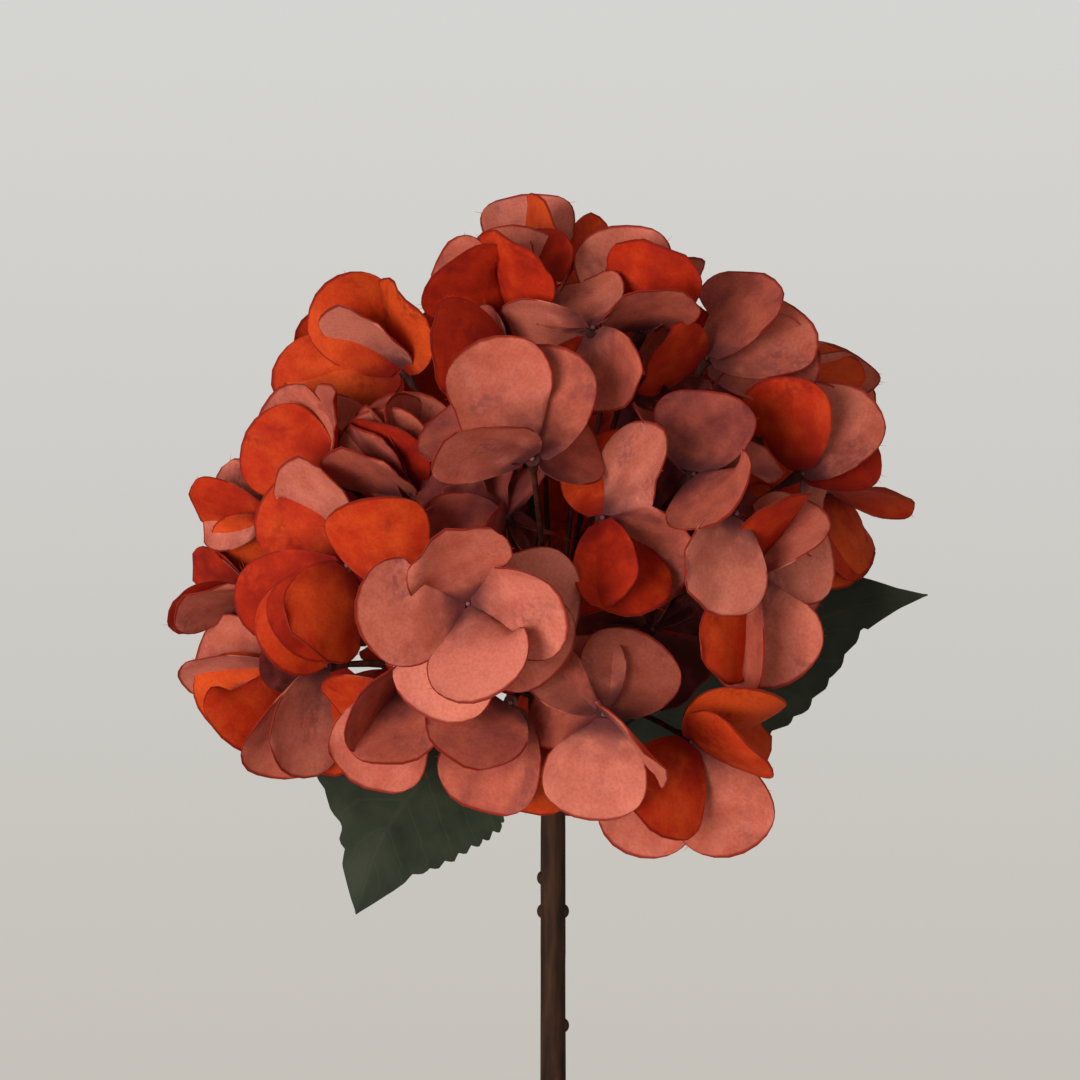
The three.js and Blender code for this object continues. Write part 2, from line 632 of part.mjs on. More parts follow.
function located(solid) {
  const { min, max } = solid.boundingBox();
  const low = vector(min);
  const high = vector(max);
  return { solid, middle: low.clone().add(high).multiplyScalar(0.5), reach: low.distanceTo(high) / 2 };
}

function clearOf(item, others) {
  return others.every((other) => !near(item, other) || item.solid.minGap(other.solid, CLEARANCE) >= CLEARANCE * 0.95);
}

function coloured(solid, name, colour, roughness, extra = {}) {
  const mesh = solid.simplify(DETAIL).getMesh();
  const geometry = new THREE.BufferGeometry();
  geometry.setAttribute('position', new THREE.BufferAttribute(new Float32Array(mesh.vertProperties), 3));
  geometry.setIndex(new THREE.BufferAttribute(new Uint32Array(mesh.triVerts), 1));
  const object = new THREE.Mesh(geometry, new THREE.MeshStandardMaterial({ color: colour, roughness, ...extra }));
  object.name = name;
  return object;
}

function hydrangea() {
  const group = new THREE.Group();
  group.name = 'hydrangea_in_jar';
  const leafSolids = LEAVES.map(leaf);
  const leafItems = leafSolids.map(located);
  const besideLeaves = backFlorets().filter(({ hub }) => clearOf(located(wire(vector(hub))), leafItems));
  const florets = [...FLORETS, ...besideLeaves];
  const hubs = florets.map((floret) => vector(floret.hub));
  const stemSolid = stem(hubs);
  group.add(coloured(jar(), 'jar', '#dfe9ea', 0.05, { transparent: true, opacity: 0.4 }));
  group.add(coloured(stemSolid, 'stem', '#3e2218', 0.6));
  LEAVES.forEach((shape, i) => group.add(coloured(leafSolids[i], shape.name, '#2b3323', 0.7)));

  const wires = hubs.map((hub) => located(wire(hub)));
  const fixed = [
    ...wires, ...leafItems,
    located(tube(STEM_ROUTE.slice(-3).map(vector), [3.2, 3.2, 3.2], STEM.facets)),
    located(turned([[0, -9], [6.4, -1], [0, 7]], CROWN.facets, vector(CROWN.centre), UP)),
  ];
  const hubItems = hubs.map((hub) => located(hubSolid(hub)));
  const placed = [];
  florets.forEach((floret, i) => {
    const others = [...fixed, ...hubItems.filter((_, k) => k !== i), ...placed];
    const parts = [hubItems[i]];
    const joint = Manifold.sphere(HUB.joint, 12).translate(floret.hub);
    const ownPetals = [];
    for (const petal of petalsOf(floret, i + 1)) {
      const reachable = others.filter((other) => petal.root.distanceTo(other.middle) < other.reach + petal.length + 8);
      const fits = (trial, apart) => {
        const item = located(petalSolid(given(petal, trial)));
        const free = located(item.solid.subtract(joint));
        if ((apart && !clearOf(free, ownPetals)) || !clearOf(item, reachable)) return false;
        parts.push(item);
        ownPetals.push(free);
        return true;
      };
      // A small change keeps it apart from its own floret's petals. Failing that it lies through them.
      const placedApart = TRIALS.filter(({ change }) => change < OWN_CHANGE).some((trial) => fits(trial, true));
      if (!placedApart) TRIALS.some((trial) => fits(trial, false));
    }
    placed.push(...parts.slice(1));
    group.add(coloured(Manifold.union(parts.map((part) => part.solid)), `floret_${floret.name}`, '#c0543e', 0.8));
  });
  return group;
}

export default hydrangea();
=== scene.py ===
"""A faux mophead hydrangea in a plain glass jar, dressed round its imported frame."""
import math
from functools import partial

import bpy
from mathutils import Matrix, Vector, kdtree
from mathutils.bvhtree import BVHTree


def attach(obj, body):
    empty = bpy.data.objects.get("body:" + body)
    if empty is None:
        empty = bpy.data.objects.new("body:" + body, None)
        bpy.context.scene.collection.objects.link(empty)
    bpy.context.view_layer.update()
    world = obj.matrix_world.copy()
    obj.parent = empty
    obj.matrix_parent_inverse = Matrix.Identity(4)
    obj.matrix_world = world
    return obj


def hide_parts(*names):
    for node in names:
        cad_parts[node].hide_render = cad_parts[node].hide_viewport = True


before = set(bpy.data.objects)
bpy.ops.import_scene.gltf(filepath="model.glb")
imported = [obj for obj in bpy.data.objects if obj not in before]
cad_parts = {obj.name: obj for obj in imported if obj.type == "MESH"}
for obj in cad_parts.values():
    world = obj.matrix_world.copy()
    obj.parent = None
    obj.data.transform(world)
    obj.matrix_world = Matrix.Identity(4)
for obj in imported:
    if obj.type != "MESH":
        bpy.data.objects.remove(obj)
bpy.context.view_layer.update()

bl_info = {
    "name": "Faux hydrangea in a jar",
    "version": (1, 0, 0),
    "blender": (4, 5, 0),
    "location": "View3D > Sidebar > Hydrangea",
    "description": "Builds the florets, leaves, stem, jar and studio of a faux hydrangea",
    "category": "Add Mesh",
}

MM = 0.001  # one millimetre in the scene's metres

# ---- What the solids were made from, in millimetres, so that the cloth follows them ----

HEAD_CENTRE = Vector((-4, 30, 300))
CROWN_CENTRE = Vector((0, 30, 256))
CROWN_RADIUS = 6.4
WIRE_START = 1.4  # how deep a wire starts inside the crown
WIRE_BOW = 0.12  # how far a wire bows upwards, as a share of its reach
HUB_BACK = 4.6  # how far a floret's boss reaches back from its hub
CLEARANCE = 0.3  # between a wire's end and the boss

PETAL_LENGTH = 24
PETAL_BREADTH = 24
PETAL_BASE = 3
PETAL_WIDEST = 0.6  # where along its length a petal is broadest
PETAL_FULLNESS = 1.8  # higher is narrower near the root
PETAL_SPREAD = math.radians(60)
PETAL_CURL = math.radians(35)
PETAL_THICKNESS = 0.7
ROOT_OUT = 0.9  # how far a petal's root lies from the hub
LAYER_GAP = 1.4  # how far the second layer lies behind the first

# The florets at the back: the spiral that they lie on, and how far behind the middle and at what heights it is used.
BACK_RADII = Vector((60, 62, 56))
BACK_SPIRAL = 42  # places on the whole spiral
BACK_TURN = math.radians(137.5)
BACK_FROM = 10
BACK_LOWEST = 238
BACK_HIGHEST = 350
BACK_OPEN = 26  # degrees by which a petal stands out of the floret's plane
BACK_SIZE = 1.12

# Ways that a petal may have given where it would cross a neighbour: size, and bend and roll in degrees.
GIVEN_SIZES = (1, 0.92, 0.84, 0.76, 0.66, 0.56, 0.48)
GIVEN_BENDS = (0, 5, -5, 10, -10, 16, -16, 24, -24)
GIVEN_ROLLS = (0, 12, -12, 26, -26)
SAME_PLACE = 0.06  # how near a petal's corner lies to the node's where it is the same

STEM_ROUTE = [
    (0, -30.6, 7.7), (0, -9.7, 60), (0, 10.3, 110), (0, 22.9, 142), (0, 28.2, 172), (0, 29.8, 205), (0, 30, 240),
    (0, 30, 256),
]
STEM_RADIUS = 3.4  # at the foot
STEM_TAPER = 0.4  # how much less it is at the crown
WIRE_RADIUS = 0.7
NUB_RADIUS = 1.45
NUB_OUT = 2.6  # how far a nub's middle lies from the stem's
NUBS = [(204, 1), (203, -1), (212, -1), (176, 1), (118, -1), (62, 1)]  # the height of each, and its side
CROWN = [(0, -9), (3.2, -7.6), (5.2, -4), (6.3, -1), (6.3, 1.5), (5.0, 4.4), (2.8, 6.3), (0, 7)]  # radius and height

# The veins of a leaf: how far they lean to its tip, and how fast they follow one another: 50 gives eight pairs.
VEIN_LEAN = 0.2
VEIN_RATE = 50
VEIN_RISE = 0.06
TOOTH_DEPTH = 1.4

# Each leaf's outline: a share of the length, and the breadth on either side of the midrib there.
LEAVES = [
    {
        "name": "leaf_left", "stalk": (-3.6, 28.8, 240.5),
        "route": [(-10, 25, 246), (-19, 20, 247), (-31, 13, 239), (-42, 5, 224), (-47, 0, 208)],
        "across": (0.93, 0, -0.36), "fold": -0.12, "teeth": 14, "smooth_tip": 0.84,
        "outline": [
            (0, 0, 0), (0.07, 8, 8), (0.18, 18, 17), (0.3, 24, 22), (0.45, 25.5, 21.2), (0.62, 22, 18),
            (0.73, 10.5, 14.4), (0.88, 4.8, 7.2), (0.95, 2.2, 3), (1, 0, 0),
        ],
    },
    {
        "name": "leaf_right", "stalk": (3.6, 31.2, 238.5),
        "route": [(12, 38, 245), (27, 46, 255), (50, 52, 268), (76, 50, 279), (96, 45, 283)],
        "across": (0.1, 0.15, -1), "fold": 0.15, "teeth": 15, "smooth_tip": 0.82,
        "outline": [
            (0, 0, 0), (0.07, 8, 8), (0.18, 16.7, 15.5), (0.32, 24.3, 22), (0.46, 27, 24.7), (0.56, 25, 22.8),
            (0.68, 19, 16.6), (0.81, 8.6, 7), (0.92, 3, 2.4), (1, 0, 0),
        ],
    },
]

# Each petal: how far its tip lies right of the hub and above it, whether it reaches nearer the viewer or further
# off, which side of it the viewer sees, and its roll about its own length in degrees. A floret's tone is how deep its
# dye is: 0 is pale, and over 1 is dark, painted shade for the inside of the head.
NEAR, FAR, FACE, BACK = -1, 1, 1, -1
FLORETS = [
    {"name": "main", "hub": (-19, -44, 283), "size": 1.12, "tone": 0.25,
     "upper": [(-4, 16, NEAR, FACE, 0), (-24, -3, NEAR, FACE, 0), (5, -20, NEAR, FACE, -5),
               (19, -3, NEAR, FACE, -30)],
     "lower": [(25, 1, FAR, FACE, 10), (-9, -26, FAR, FACE, 0), (21, -14, FAR, FACE, 0)]},
    {"name": "above", "hub": (-5, -38, 315), "size": 1.18, "tone": 0.65,
     "upper": [(-12, 27, FAR, FACE, 0), (13, 9, FAR, FACE, -5), (-19, 3, NEAR, FACE, 62),
               (-24, 8, FAR, FACE, -25)],
     "lower": [(4, 27, FAR, FACE, 10)]},
    {"name": "lowright", "hub": (11, -34, 258), "size": 1.1, "tone": 0.4,
     "upper": [(11, 17, FAR, FACE, 15), (-15, 5, FAR, FACE, 10), (-3, -25, FAR, FACE, 8),
               (11, -9, NEAR, FACE, -72)],
     "lower": [(-10, 15, FAR, FACE, 0)]},
    {"name": "centre", "hub": (11, -24, 302),
     "upper": [(8, 23, NEAR, FACE, 42), (17, -18, FAR, FACE, 10), (-2, 23, FAR, BACK, 30),
               (-7, -19, NEAR, BACK, -50)],
     "lower": [(8, -22, NEAR, BACK, 35)]},
    {"name": "rightmid", "hub": (32, -20, 312), "tone": 0.95,
     "upper": [(5, 20, FAR, FACE, 15), (7, -9, NEAR, FACE, 0), (18, 6, FAR, FACE, 50)],
     "lower": [(-10, 17, FAR, FACE, -62)]},
    {"name": "lowfar", "hub": (32, -10, 250), "size": 1.1, "tone": 0.3,
     "upper": [(-10, -19, NEAR, BACK, 28), (18, 12, NEAR, BACK, -45), (14, -1, NEAR, BACK, -35),
               (13, -27, FAR, FACE, 0)],
     "lower": [(-14, -29, FAR, FACE, 10), (20, 2, FAR, BACK, 40)]},
    {"name": "topmid", "hub": (9, -16, 346), "tone": 0.55,
     "upper": [(-6, 12, FAR, FACE, 0), (-19, -1, FAR, FACE, 45), (8, -22, NEAR, FACE, -25)],
     "lower": [(-3, -19, FAR, BACK, 25)]},
    {"name": "topleft", "hub": (-11, 0, 350), "tone": 0.6,
     "upper": [(2, 16, NEAR, BACK, 42), (-7, 20, FAR, FACE, 20), (-15, 10, NEAR, BACK, 30),
               (10, 22, FAR, BACK, 35)],
     "lower": [(5, 23, FAR, FACE, 10), (-16, 18, FAR, FACE, 50)]},
    {"name": "topright", "hub": (21, 4, 347),
     "upper": [(3, 18, NEAR, BACK, 0), (-7, 26, FAR, FACE, 0), (2, 8, NEAR, FACE, 0)],
     "lower": [(12, 21, FAR, FACE, 66)]},
    {"name": "crown", "hub": (-4, 32, 363), "tone": 0.3,
     "upper": [(-4, 22, FAR, FACE, 0), (3, 14, NEAR, BACK, 62), (14, 9, FAR, BACK, 30)],
     "lower": [(14, 18, FAR, BACK, 70)]},
    {"name": "lefttop", "hub": (-37, 22, 339), "size": 1.1, "tone": 0.2,
     "upper": [(-19, 21, NEAR, BACK, 0), (-30, -3, FAR, BACK, 10), (-15, 14, NEAR, FACE, 72),
               (-6, 15, NEAR, BACK, 78)],
     "lower": [(-25, 8, FAR, BACK, 20), (-34, -2, FAR, BACK, 20)]},
    {"name": "right1", "hub": (45, -16, 290), "tone": 0.45,
     "upper": [(21, 6, FAR, FACE, 0), (10, -27, FAR, FACE, 15), (-6, -26, NEAR, BACK, 62),
               (9, 20, NEAR, BACK, -52)]},
    {"name": "right3", "hub": (60, 10, 313), "tone": 0.6,
     "upper": [(-8, 23, NEAR, BACK, 38), (8, 22, FAR, FACE, 10), (7, -10, FAR, FACE, 55)],
     "lower": [(17, 21, FAR, FACE, 25), (18, 6, FAR, BACK, 45)]},
    {"name": "right4", "hub": (37, 12, 341), "tone": 0.55,
     "upper": [(15, 21, FAR, FACE, 50), (27, 9, FAR, FACE, 42), (-16, -3, NEAR, BACK, 50)],
     "lower": [(29, 1, FAR, FACE, 42), (-16, 7, FAR, FACE, 58)]},
    {"name": "left1", "hub": (-48, 0, 295),
     "upper": [(-15, 21, NEAR, FACE, 55), (-23, 10, FAR, BACK, 25)]},
    {"name": "left1b", "hub": (-53, 12, 312), "tone": 0.5,
     "upper": [(-7, 20, FAR, FACE, 0), (-20, 13, FAR, BACK, 20), (-1, 20, NEAR, FACE, 72)],
     "lower": [(-18, 21, FAR, FACE, 40)]},
    {"name": "left4", "hub": (-48, -14, 291), "tone": 0.6,
     "upper": [(-6, -20, NEAR, BACK, 48), (-25, -14, FAR, BACK, 42)]},
    {"name": "left3", "hub": (-36, -26, 286),
     "upper": [(-7, 20, NEAR, BACK, 20)],
     "lower": [(7, -15, FAR, FACE, 20)]},
    {"name": "lowleft1", "hub": (-68, 22, 265), "tone": 0.35,
     "upper": [(-22, 2, FAR, FACE, 0), (-9, -18, NEAR, BACK, 20)],
     "lower": [(-26, -4, FAR, FACE, 66), (-20, -13, FAR, BACK, 20)]},
    {"name": "lowleft2", "hub": (-54, 2, 267),
     "upper": [(-8, -26, NEAR, FACE, 50)],
     "lower": [(-19, -27, FAR, FACE, 45), (0, -27, FAR, BACK, 20)]},
    {"name": "lowleft3", "hub": (-36, -18, 262), "tone": 0.6,
     "upper": [(2, -15, NEAR, FACE, 0), (-9, -2, NEAR, FACE, 48)],
     "lower": [(-9, -23, FAR, FACE, 5), (-15, -7, FAR, BACK, 40)]},
    {"name": "lowmid", "hub": (-10, -24, 260),
     "upper": [(-14, -13, NEAR, FACE, -15)],
     "lower": [(-8, -26, FAR, FACE, 0)]},
    {"name": "left2", "hub": (-70, 25, 303), "tone": 0.35,
     "upper": [(-18, 4, FAR, FACE, 0)],
     "lower": [(-22, 2, FAR, BACK, 60), (-8, 12, FAR, BACK, 30), (-10, -14, FAR, BACK, 25)]},
    {"name": "left5", "hub": (-74, 32, 282), "tone": 0.75,
     "upper": [(-18, 5, FAR, BACK, 56), (-15, -1, NEAR, FACE, 70), (-17, -10, NEAR, BACK, 48)],
     "lower": [(-12, 10, FAR, FACE, 72)]},
    {"name": "right2", "hub": (41, -30, 303),
     "upper": [(-7, -22, NEAR, FACE, 42)],
     "lower": [(-7, -6, FAR, FACE, 70)]},
    {"name": "right5", "hub": (69, 38, 309),
     "upper": [(22, 0, FAR, BACK, 78), (6, -24, FAR, BACK, 38)]},
    {"name": "right6", "hub": (63, 44, 333),
     "upper": [(17, 12, FAR, FACE, 42), (21, 2, FAR, FACE, 20)],
     "lower": [(13, 15, FAR, BACK, 40)]},
    {"name": "leftblade", "hub": (-35, 4, 307), "tone": 0.8,
     "upper": [(-10, 22, NEAR, FACE, 76), (-14, 13, NEAR, FACE, 66), (-1, 26, FAR, FACE, 10),
               (-8, 18, NEAR, BACK, 60)]},
    # the pocket's tone over 1 paints the shade of the hollow between main and above
    {"name": "pocket", "hub": (-11, -12, 302), "tone": 1.1,
     "upper": [(-21, 7, FAR, FACE, 12), (5, 15, FAR, FACE, 60), (10, -16, FAR, FACE, 76),
               (-8, -13, NEAR, FACE, 72)]},
    {"name": "lowback", "hub": (-1, -16, 250),
     "upper": [(-6, -18, FAR, BACK, 20)]},
    {"name": "topleftlow", "hub": (-11, -12, 342), "tone": 0.8,
     "upper": [(-17, -2, NEAR, BACK, 10), (-15, 11, FAR, FACE, 40)]},
]

# The florets deep inside the head, which fill its dark gaps, their dark colour painted shade: their tones, hubs, and
# the tips of their petals.
DEEP = [
    (1.3, (23, -6, 276), [(12, -15), (-2, 16), (14, 6), (-14, -1)]),
    (1.2, (-62, 16, 280), [(-11, 16), (16, 2), (-1, -21)]),
    (1.3, (33, 6, 326), [(1, 19), (18, 1), (-16, 1), (-4, -19)]),
    (1.3, (40, 8, 302), [(-4, -17), (12, 10), (-13, -3)]),
    (1.3, (-37, 6, 292), [(7, -20), (-16, -7), (-8, 15), (9, 15)]),
]
FLORETS += [
    {"name": f"fill{number}", "hub": hub, "tone": tone, "upper": [(*tip, FAR, FACE, 20) for tip in tips]}
    for number, (tone, hub, tips) in enumerate(DEEP, start=1)
]

# ---- The cloth, beyond what the solids have ----

JOINED = 0.42  # the share of their length for which neighbouring lobes are one sheet
JOINED_TURNS = (35, 150)  # the degrees that may lie between two lobes of one sheet
UNDER_SIZES = (1, 0.9, 0.8, 0.7, 0.6)  # sizes that a lobe of the second layer may take to clear its neighbours
SKETCH = 4  # cells along and across a lobe where only its rough place is needed
CLOTH_SEED = 500
STEM_SEED = 77

UP = Vector((0, 0, 1))
TO_VIEWER = Vector((0, -1, 0))
AIM = Vector((0, 0.03, 0.3))  # the middle of the head, in metres, for the lights


# ---- Small helpers ----

def weighted(*pairs):
    """The sum of directions, each times its amount."""
    total = Vector((0, 0, 0))
    for direction, amount in pairs:
        total += direction * amount
    return total


def random_from(seed):
    """A repeatable random sequence. For a floret's petals it is the one that its solid was drawn with."""
    state = seed * 7919 + 104729

    def draw():
        nonlocal state
        state = (state * 1664525 + 1013904223) % 4294967296
        return state / 4294967296

    for _ in range(3):
        draw()
    return draw


def linear(code, alpha=1.0):
    """An sRGB hex colour as the linear colour that shaders use."""
    parts = [int(code[i:i + 2], 16) / 255 for i in (1, 3, 5)]
    return [p / 12.92 if p <= 0.04045 else ((p + 0.055) / 1.055) ** 2.4 for p in parts] + [alpha]


def only(*objects):
    """Deselects everything, then selects these, the first of them active."""
    bpy.ops.object.select_all(action="DESELECT")
    for item in objects:
        item.select_set(True)
    bpy.context.view_layer.objects.active = objects[0]


def shaped_grid(name, columns, rows, place, closed=False):
    """A grid primitive moved to place(column 0 to 1, row 0 to 1), in millimetres, and welded if it is closed."""
    bpy.ops.object.select_all(action="DESELECT")
    bpy.ops.mesh.primitive_grid_add(x_subdivisions=columns, y_subdivisions=rows, size=2, calc_uvs=True)
    item = bpy.context.object
    item.name = name
    for vertex in item.data.vertices:
        x, y, _ = vertex.co
        vertex.co = place((x + 1) / 2, (y + 1) / 2) * MM
    if closed:
        bpy.ops.object.mode_set(mode="EDIT")
        bpy.ops.mesh.select_all(action="SELECT")
        bpy.ops.mesh.remove_doubles(threshold=1e-6)
        bpy.ops.mesh.normals_make_consistent(inside=False)
        bpy.ops.object.mode_set(mode="OBJECT")
    return item


def joined(items, name):
    """One object from several, under one name."""
    only(*items)
    if len(items) > 1:
        bpy.ops.object.join()
    item = bpy.context.object
    item.name = name
    item.data.name = name
    return item


def copied(pattern):
    """A copy of the pattern with a mesh of its own."""
    item = pattern.copy()
    item.data = pattern.data.copy()
    bpy.context.collection.objects.link(item)
    return item


def planted(item, foot, way):
    """Turns the mesh, upright on the origin, to point along a way from its foot, in millimetres."""
    turn = UP.rotation_difference(way).to_matrix().to_4x4()
    turn.translation = foot * MM
    item.data.transform(turn)
    return item


def apply_modifier(item, kind, **settings):
    """Adds a modifier and applies it at once."""
    only(item)
    bpy.ops.object.modifier_add(type=kind)
    modifier = item.modifiers[-1]
    for key, value in settings.items():
        setattr(modifier, key, value)
    bpy.ops.object.modifier_apply(modifier=modifier.name)


def smooth(item, angle):
    """Shades smooth where faces meet at less than the angle, in degrees."""
    only(item)
    bpy.ops.object.shade_smooth_by_angle(angle=math.radians(angle))


def finish_piece(item, slot, *nodes):
    """The piece rides on the object and stands for its nodes. Its slot is not used."""
    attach(item, "root")
    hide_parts(*nodes)


# ---- Curves ----

def curve_point(points, t):
    """A point of the smooth curve through the points, evenly weighted by the square root of their spacing."""
    last = len(points) - 1
    place = last * t
    start = min(int(place), last - 1)
    weight = place - start
    p1, p2 = points[start], points[start + 1]
    p0 = points[start - 1] if start > 0 else p1 * 2 - p2
    p3 = points[start + 2] if start + 2 <= last else p2 * 2 - p1
    gap1 = (p2 - p1).length ** 0.5 or 1
    gap0 = (p1 - p0).length ** 0.5 or gap1
    gap2 = (p3 - p2).length ** 0.5 or gap1
    leave = ((p1 - p0) / gap0 - (p2 - p0) / (gap0 + gap1) + (p2 - p1) / gap1) * gap1
    arrive = ((p2 - p1) / gap1 - (p3 - p1) / (gap1 + gap2) + (p3 - p2) / gap2) * gap1
    square = (p2 - p1) * 3 - leave * 2 - arrive
    cube = (p1 - p2) * 2 + leave + arrive
    return p1 + leave * weight + square * weight ** 2 + cube * weight ** 3


class Curve:
    """A smooth curve through points, read by the share of its length."""

    def __init__(self, points, steps=200):
        self.points = [Vector(p) for p in points]
        self.samples = [curve_point(self.points, i / steps) for i in range(steps + 1)]
        self.lengths = [0.0]
        for a, b in zip(self.samples, self.samples[1:]):
            self.lengths.append(self.lengths[-1] + (b - a).length)

    def at(self, share):
        """The place at a share of the length."""
        wanted = min(max(share, 0), 1) * self.lengths[-1]
        i = 0
        while i < len(self.lengths) - 2 and self.lengths[i + 1] < wanted:
            i += 1
        part = (wanted - self.lengths[i]) / (self.lengths[i + 1] - self.lengths[i])
        return self.samples[i].lerp(self.samples[i + 1], part)

    def way(self, share):
        """The way that the curve goes there."""
        return (self.at(min(share + 0.001, 1)) - self.at(max(share - 0.001, 0))).normalized()


def tube(name, centres, radii, sides, uneven=None):
    """A tube through the centres with closed, rounded-off ends."""
    frames = []
    side = Vector((1, 0, 0))
    for i, centre in enumerate(centres):
        along = (centres[min(i + 1, len(centres) - 1)] - centres[max(i - 1, 0)]).normalized()
        # a tube that sets off along the first side needs another one
        if i == 0 and abs(along.x) > 0.9:
            side = Vector((0, 1, 0))
        side = (side - along * side.dot(along)).normalized()
        frames.append((centre, side.copy(), along.cross(side)))
    rows = len(centres) + 1

    def place(x, y):
        i = round(y * rows)
        at_end = i in (0, rows)
        k = min(max(i - 1, 0), len(centres) - 1)
        centre, one, other = frames[k]
        angle = 2 * math.pi * x
        radius = 0 if at_end else radii[k] * (uneven(k, x) if uneven else 1)
        return weighted((centre, 1), (one, radius * math.cos(angle)), (other, radius * math.sin(angle)))

    return shaped_grid(name, sides, rows, place, closed=True)


# ---- Petals, as the solids have them ----

def half_breadth(share, fullness, base_breadth):
    """Half the petal's breadth at a share of its length, as a share of the full breadth."""
    base = base_breadth / PETAL_BREADTH / 2
    if share < PETAL_WIDEST:
        return base + (0.5 - base) * math.sin(math.pi * share / (2 * PETAL_WIDEST)) ** fullness
    return 0.5 * math.sqrt(max(0, 1 - ((share - PETAL_WIDEST) / (1 - PETAL_WIDEST)) ** 2))


def petal_point(petal, row, column, lift, fullness=PETAL_FULLNESS, base=PETAL_BASE):
    """A point of the petal, row 0 at the root to 1 at the tip and column -1 to 1, lifted off its middle surface."""
    nearest = math.cos(PETAL_SPREAD)
    side_share = (PETAL_WIDEST + (1 - PETAL_WIDEST) * nearest) * row
    share = side_share + (row - side_share) * (math.cos(PETAL_SPREAD * column) - nearest) / (1 - nearest)
    out = petal["breadth"] * half_breadth(side_share, fullness, base) * math.sin(PETAL_SPREAD * column)
    out /= math.sin(PETAL_SPREAD)
    curl, twist, facing, along = petal["curl"], petal["twist"], petal["facing"], petal["along"]
    start = -curl / 2
    angle = start + curl * share
    run = petal["length"] * (math.sin(angle) - math.sin(start)) / curl
    rise = petal["length"] * (math.cos(start) - math.cos(angle)) / curl
    across = facing.cross(along)
    normal = weighted((facing, math.cos(angle)), (along, -math.sin(angle)))
    sideways = weighted((across, math.cos(twist)), (normal, math.sin(twist)))
    raised = weighted((normal, math.cos(twist)), (across, -math.sin(twist)))
    cupped = petal["cup"] * out * out / (petal["breadth"] / 2)
    return weighted((petal["root"], 1), (along, run), (facing, rise), (sideways, out), (raised, cupped + lift))


def petal_traits(draw, size):
    """A petal's measures, a little different from one to the next."""
    length = PETAL_LENGTH * size * (0.97 + 0.08 * draw())
    curl = PETAL_CURL * (draw() - 0.35) + 0.001
    cup = 0.1 + 0.22 * draw()
    twist = math.radians(4 + 8 * draw())
    return {"length": length, "breadth": PETAL_BREADTH, "curl": curl, "cup": cup, "twist": twist}


def wire_of(hub):
    """Where a floret's wire starts and bends over, the way it arrives at the hub, and where it ends."""
    reach = (hub - CROWN_CENTRE).length
    bend = weighted((CROWN_CENTRE, 0.5), (hub, 0.5), (UP, WIRE_BOW * reach))
    start = CROWN_CENTRE + (bend - CROWN_CENTRE).normalized() * (CROWN_RADIUS - WIRE_START)
    arrival = (hub - bend).normalized()
    return start, bend, arrival, hub - arrival * (HUB_BACK + CLEARANCE)


def laid_petal(hub, place, layer, draw, size):
    """A petal laid out as listed: its tip's place fixes how far it reaches towards the viewer or away."""
    right, up, reach, side, roll = place
    petal = petal_traits(draw, size)
    seen = math.hypot(right, up)
    length = max(petal["length"], seen * 1.02)
    along = Vector((right, reach * math.sqrt(max(0, length * length - seen * seen)), up)).normalized()
    flat = (TO_VIEWER - along * TO_VIEWER.dot(along)).normalized() * side
    roll = math.radians(roll)
    facing = weighted((flat, math.cos(roll)), (flat.cross(along), math.sin(roll)))
    drop = -LAYER_GAP if layer == "lower" else 0
    root = weighted((hub, 1), (wire_of(hub)[2], drop), (along, ROOT_OUT))
    petal.update(length=length - ROOT_OUT, along=along, facing=facing, root=root, layer=layer)
    return petal


def open_petal(hub, axis, azimuth, open_angle, draw):
    """A petal of a floret at the back, opened out evenly round the floret's axis."""
    petal = petal_traits(draw, BACK_SIZE)
    sideways = axis.cross(UP).normalized()
    upwards = sideways.cross(axis)
    outwards = weighted((upwards, math.cos(azimuth)), (sideways, math.sin(azimuth)))
    along = weighted((outwards, math.cos(open_angle)), (axis, math.sin(open_angle)))
    facing = weighted((axis, math.cos(open_angle)), (outwards, -math.sin(open_angle)))
    petal.update(along=along, facing=facing, root=hub + along * ROOT_OUT, layer="upper")
    return petal


def back_florets():
    """Florets on a spiral round the back of the head."""
    florets = []
    for i in range(BACK_SPIRAL):
        height = 1 - 2 * (i + 0.5) / BACK_SPIRAL
        angle = i * BACK_TURN
        ring = math.sqrt(1 - height * height)
        direction = Vector((ring * math.cos(angle), ring * math.sin(angle), height))
        hub = direction * BACK_RADII + HEAD_CENTRE
        if hub.y - HEAD_CENTRE.y > BACK_FROM and BACK_LOWEST < hub.z < BACK_HIGHEST:
            florets.append({"name": f"back{len(florets) + 1}", "hub": hub, "axis": direction})
    # a place whose wire would touch a leaf has no floret
    return [floret for floret in florets if f"floret_{floret['name']}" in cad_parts]


def petals_of(floret, number):
    """The petals of a floret before any gave way, laid out as listed or, at the back, opened out evenly."""
    draw = random_from(number)
    hub = Vector(floret["hub"])
    if "axis" not in floret:
        size = floret.get("size", 1)
        return [
            laid_petal(hub, place, layer, draw, size)
            for layer in ("upper", "lower") for place in floret.get(layer, ())
        ]
    turn = draw() * 90
    petals = []
    for k in range(4):
        azimuth = math.radians(turn + 90 * k + 20 * (draw() - 0.5))
        open_angle = math.radians(BACK_OPEN + 30 * (draw() - 0.5))
        petals.append(open_petal(hub, floret["axis"], azimuth, open_angle, draw))
    return petals


def given(petal, bend, roll, size):
    """The petal bent towards its face, rolled about its length and made smaller, where it gave way to a neighbour."""
    bend, roll = math.radians(bend), math.radians(roll)
    along = weighted((petal["along"], math.cos(bend)), (petal["facing"], math.sin(bend)))
    facing = weighted((petal["facing"], math.cos(bend)), (petal["along"], -math.sin(bend)))
    rolled = weighted((facing, math.cos(roll)), (facing.cross(along), math.sin(roll)))
    return {**petal, "along": along, "facing": rolled, "length": petal["length"] * size,
            "breadth": petal["breadth"] * size}


